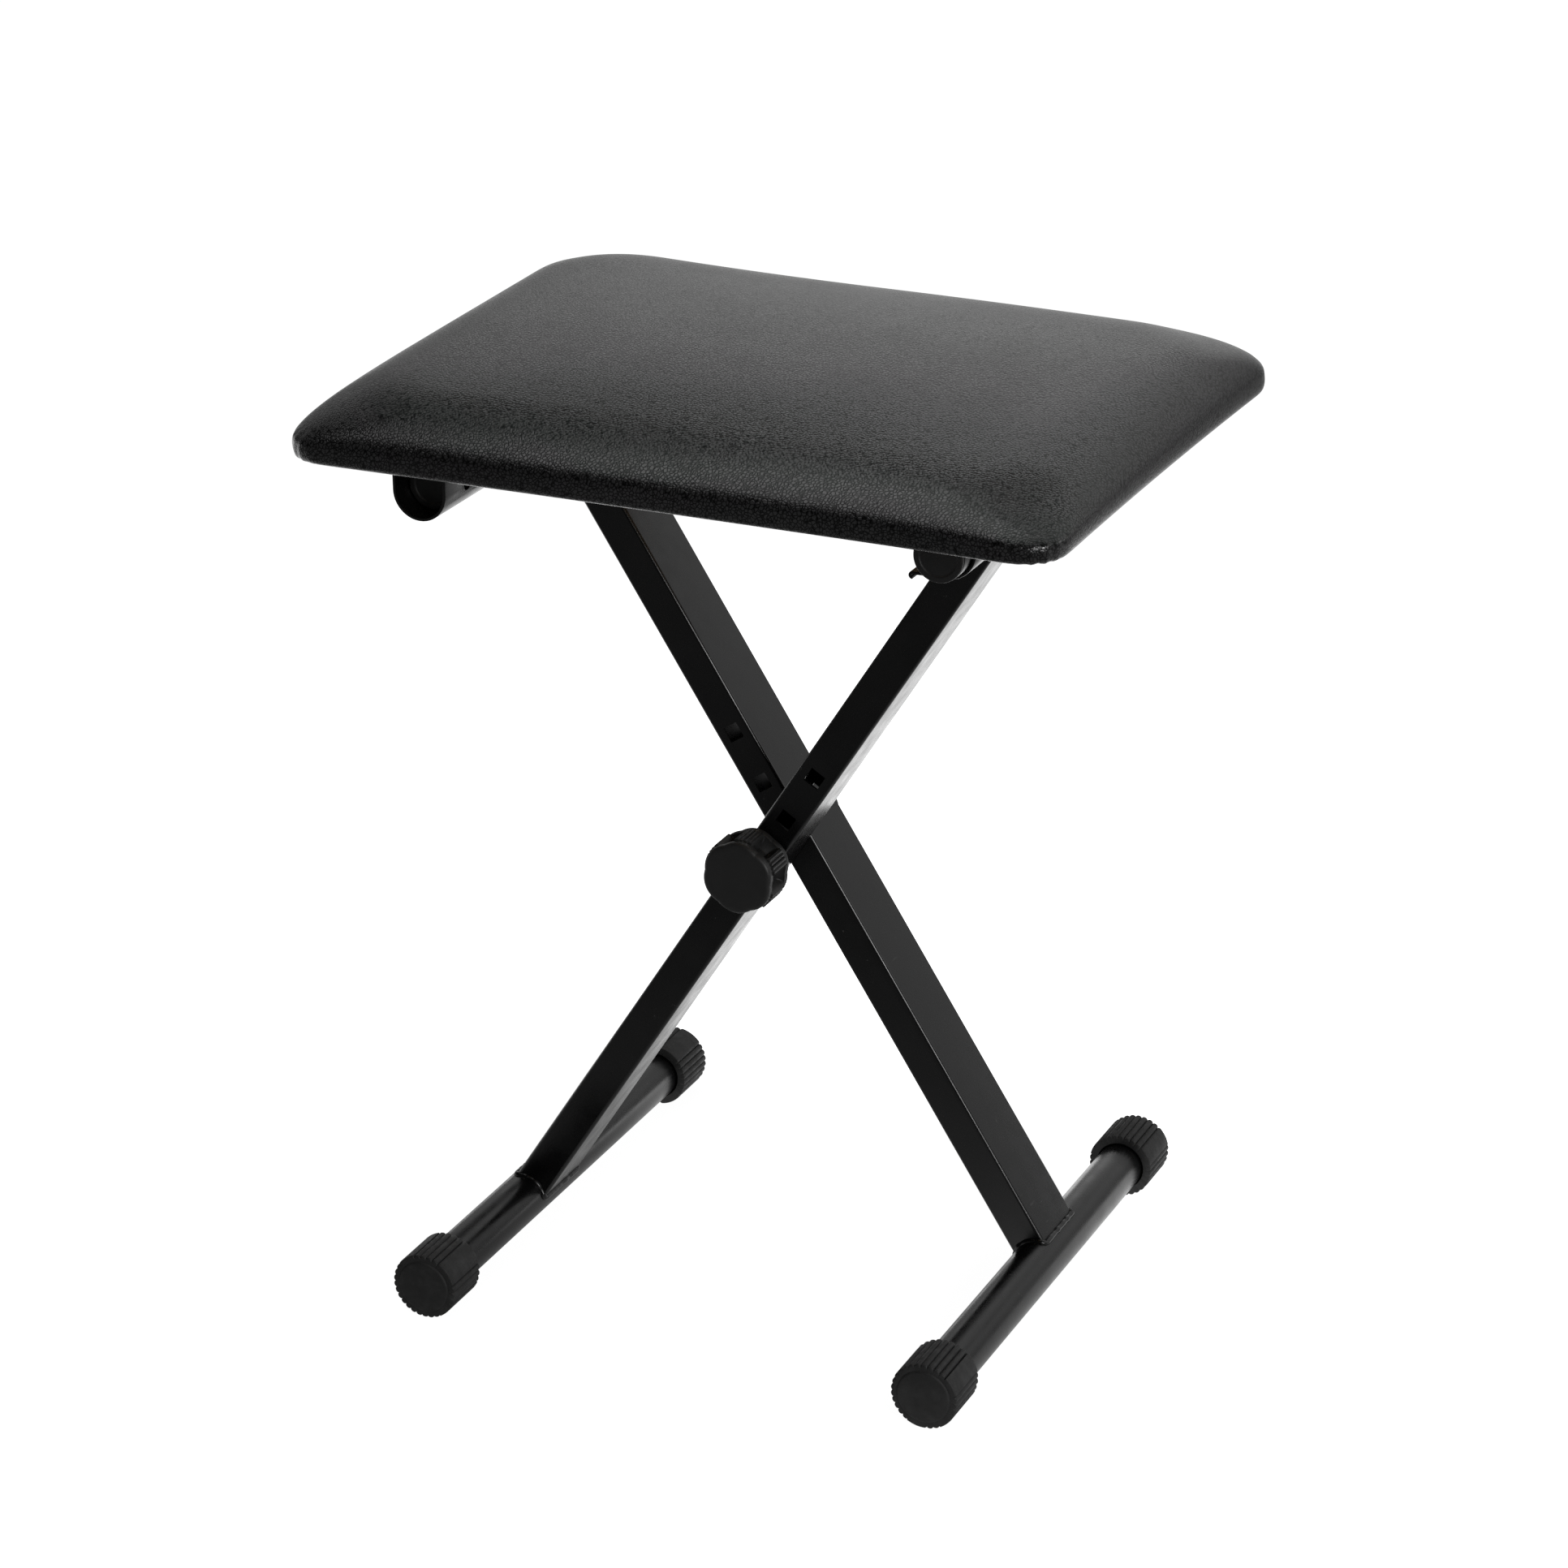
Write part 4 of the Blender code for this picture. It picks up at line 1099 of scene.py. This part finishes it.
def swell(made):
    """Cloth under pressure, held where it wraps the board. The movement is limited and evened out."""
    wrapped = 2 * (LONG_STEPS + SHORT_STEPS) * (len(board_pocket()) + len(WRAP_PROFILE))
    sheet = bpy.data.meshes.new("sheet")
    free = [list(face.vertices) for face in made.data.polygons if min(face.vertices) >= wrapped]
    sheet.from_pydata([vert.co for vert in made.data.vertices[wrapped:]], [],
                      [[i - wrapped for i in corners] for corners in free])
    cover = linked("sheet", sheet)
    group = cover.vertex_groups.new(name="held")
    for vert in sheet.vertices:
        held = min(max((HELD_HEIGHT - (vert.co.z - SEAT_LOW.z)) / HELD_FADE, 0), 1)
        if held > 0:
            group.add([vert.index], held, "REPLACE")
    cloth = cover.modifiers.new("padding", "CLOTH")
    settings = cloth.settings
    settings.quality = CLOTH_QUALITY
    settings.mass = CLOTH_MASS
    settings.tension_stiffness = settings.compression_stiffness = CLOTH_STIFFNESS
    settings.shear_stiffness = CLOTH_STIFFNESS * CLOTH_SHEAR_SHARE
    settings.bending_stiffness = CLOTH_STIFFNESS * CLOTH_BENDING_SHARE
    settings.use_pressure = True
    settings.uniform_pressure_force = CLOTH_PRESSURE
    settings.vertex_group_mass = "held"
    settings.effector_weights.gravity = 0
    cloth.collision_settings.use_collision = False
    before = np.array([vert.co for vert in sheet.vertices])
    scene = bpy.context.scene
    for step in range(1, SWELL_FRAMES + 1):
        scene.frame_set(step)
    result = cover.evaluated_get(bpy.context.evaluated_depsgraph_get())
    move = np.array([vert.co for vert in result.data.vertices]) - before
    length = np.linalg.norm(move, axis=1, keepdims=True)
    move *= np.minimum(1, SWELL_LIMIT / np.maximum(length, 1e-9))
    move = spread_evenly(sheet, move, SWELL_EVENING)
    for vert, step in zip(made.data.vertices[wrapped:], move):
        vert.co += Vector(step)
    bpy.data.objects.remove(cover)
    scene.frame_set(1)


def dress_cushion(made):
    """Gathers at the corners, where the cover is pulled round the board."""
    mesh = made.data
    normals = np.array([vert.normal for vert in mesh.vertices])
    points = np.array([vert.co for vert in mesh.vertices])
    height = points[:, 2] - SEAT_LOW.z
    out_x = np.abs(points[:, 0]) - (HALF_LENGTH - SEAT_CORNER)
    out_y = np.abs(points[:, 1]) - (HALF_WIDTH - SEAT_CORNER)
    turn = np.degrees(np.arctan2(out_y, np.maximum(out_x, 1e-9)))
    spread = np.where((out_x > 0) & (out_y > 0), np.exp(-((turn - 45) / GATHER_SPREAD) ** 2), 0)
    rise = np.clip(1 - height / GATHER_HEIGHT, 0, 1)
    quarter = np.sign(points[:, 0]) + 2 * np.sign(points[:, 1])
    gathers = GATHER_DEPTH * np.sin(turn / GATHER_PITCH * 2 * np.pi + quarter) * spread * rise
    mesh.vertices.foreach_set("co", (points + normals * gathers[:, None]).ravel())
    mesh.update()


def cushion():
    made = cushion_start()
    swell(made)
    fine = made.modifiers.new("fine", "SUBSURF")
    fine.levels = fine.render_levels = FINE_LEVELS
    apply_modifiers(made)
    dress_cushion(made)
    place(made, VINYL, "black_vinyl", "seat", "seat_cover", "seat_foam", angle=50)


def staples():
    """Crowns of wire staples along the hem."""
    random.seed(STAPLE_SEED)
    line_x, line_y = HALF_LENGTH - HEM_INSET + STAPLE_INSET, HALF_WIDTH - HEM_INSET + STAPLE_INSET
    shapes = []
    for along, across, turn in ((line_x, line_y, 0), (line_y, line_x, 90)):
        row = Matrix.Rotation(math.radians(turn), 4, "Z")
        count = int((2 * along - STAPLE_END_ROOM) / STAPLE_PITCH)
        for sign in (-1, 1):
            for i in range(count + 1):
                middle_x = (i - count / 2) * STAPLE_PITCH + random.uniform(-STAPLE_WANDER, STAPLE_WANDER)
                crown = box(STAPLE_LOW, STAPLE_HIGH)
                bmesh.ops.bevel(crown, geom=crown.edges[:], offset=STAPLE_ROUND, segments=2, affect="EDGES",
                                profile=0.5)
                spin = Matrix.Rotation(math.radians(random.uniform(-STAPLE_TILT, STAPLE_TILT)), 4, "Z")
                spot = Matrix.Translation((middle_x, sign * across, SEAT_LOW.z))
                shapes.append(moved(crown, row @ spot @ spin))
    made = to_object("hem_staples", joined(shapes))
    place(made, ZINC, "zinc_steel", "seat")


cushion()
staples()

for node, look in (("seat_board", PLYWOOD), ("knob_nut", ZINC)):
    for slot in frame["nodes"][node].material_slots:
        slot.material = look


# Stage

def floor():
    """White to the camera, with a soft shadow. Reflections see a glow of painted light on it: dim in front,
    behind and at the right, with a painted shadow under the stool.
    """
    shape = bmesh.new()
    bmesh.ops.create_grid(shape, x_segments=1, y_segments=1, size=FLOOR_SIZE)
    made = to_object("floor", shape)
    look = Look("floor")
    look.tree.nodes.remove(look.shader)
    path = look.add("LightPath").outputs
    parts = look.add("SeparateXYZ", {"Vector": look.coordinates})
    x, y = parts.outputs["X"], parts.outputs["Y"]
    # Painted shadow under the stool and painted light falloff, in the glow that reflections see.
    painted_shadow = look.product(look.fade(x, *SHADE_LEFT), look.fade(x, *SHADE_RIGHT), look.fade(y, *SHADE_BACK))
    painted_glow = look.product(look.fade(y, *FLOOR_NEAR), look.fade(y, *FLOOR_FAR), look.fade(x, *FLOOR_RIGHT),
                         look.maths("SUBTRACT", 1.0, painted_shadow))
    glow_share = look.maths("ADD", look.product(path["Is Camera Ray"], FLOOR_CAMERA_SHARE),
                            look.product(path["Is Glossy Ray"], FLOOR_GLOSSY_SHARE))
    glow_share = look.maths("ADD", glow_share, path["Is Transmission Ray"])
    shade = look.maths("MAXIMUM", painted_glow, look.product(path["Is Camera Ray"], FLOOR_WHITE))
    glow = look.add("Emission", {"Color": (1, 1, 1, 1), "Strength": shade})
    matte = look.add("BsdfDiffuse", {"Color": grey(FLOOR_MATTE)})
    mixed = look.add("MixShader", {0: glow_share, 1: matte.outputs[0], 2: glow.outputs[0]})
    look.feed(look.tree.nodes["Material Output"].inputs["Surface"], mixed.outputs[0])
    made.data.materials.append(look.material)


def world():
    """White to the camera. Reflections see a bright back with a window, and surfaces get an even fill."""
    made = bpy.data.worlds.new("studio")
    bpy.context.scene.world = made
    made.use_nodes = True
    made.node_tree.nodes.clear()
    sky = Nodes(made.node_tree, "Generated")
    parts = sky.add("SeparateXYZ", {"Vector": sky.coordinates})
    x, y, z = (parts.outputs[axis] for axis in "XYZ")
    sides = sky.product(sky.fade(x, *SKY_LEFT), sky.fade(x, *SKY_RIGHT))
    height = sky.product(sky.fade(z, *SKY_TOP), sky.fade(z, *SKY_LOW))
    window = sky.product(sky.fade(x, *WINDOW_LEFT), sky.fade(z, *WINDOW_LOW))
    seen = sky.product(sky.fade(y, *SKY_BACK), sky.maths("MAXIMUM", sky.product(sides, height), window))
    path = sky.add("LightPath").outputs
    glossy = sky.product(path["Is Glossy Ray"], seen)
    clear = sky.maths("MAXIMUM", path["Is Camera Ray"], path["Is Transmission Ray"])
    fill = sky.product(path["Is Diffuse Ray"], SKY_FILL)
    strength = sky.maths("ADD", sky.maths("ADD", glossy, clear), fill)
    background = sky.add("Background", {"Strength": strength})
    sky.add("OutputWorld", {"Surface": background.outputs[0]})


def softbox(name, place_at, width, height, watts):
    data = bpy.data.lights.new(name, "AREA")
    data.shape = "RECTANGLE"
    data.size, data.size_y = width, height
    data.energy = watts
    made = linked(name, data)
    made.location = place_at
    made.rotation_euler = (Vector(LAMP_AIM) - Vector(place_at)).to_track_quat("-Z", "Y").to_euler()


def camera():
    data = bpy.data.cameras.new("camera")
    data.sensor_width = SENSOR_MM
    data.lens = FOCAL_PIXELS / PHOTO_PIXELS * SENSOR_MM
    made = linked("camera", data)
    az, el = CAMERA_AZIMUTH, CAMERA_ELEVATION
    forward = -Vector((math.sin(az) * math.cos(el), -math.cos(az) * math.cos(el), math.sin(el)))
    right = Vector((math.cos(az), math.sin(az), 0))
    up = right.cross(forward)
    spin_right = math.cos(CAMERA_ROLL) * right + math.sin(CAMERA_ROLL) * up
    spin_up = -math.sin(CAMERA_ROLL) * right + math.cos(CAMERA_ROLL) * up
    turn = Matrix((spin_right, spin_up, -forward)).transposed().to_4x4()
    made.matrix_world = Matrix.Translation(CAMERA_PLACE) @ turn
    bpy.context.scene.camera = made


floor()
world()
for lamp, settings in SOFTBOXES.items():
    softbox(lamp, *settings)
camera()
bpy.context.scene.view_settings.view_transform = "Standard"
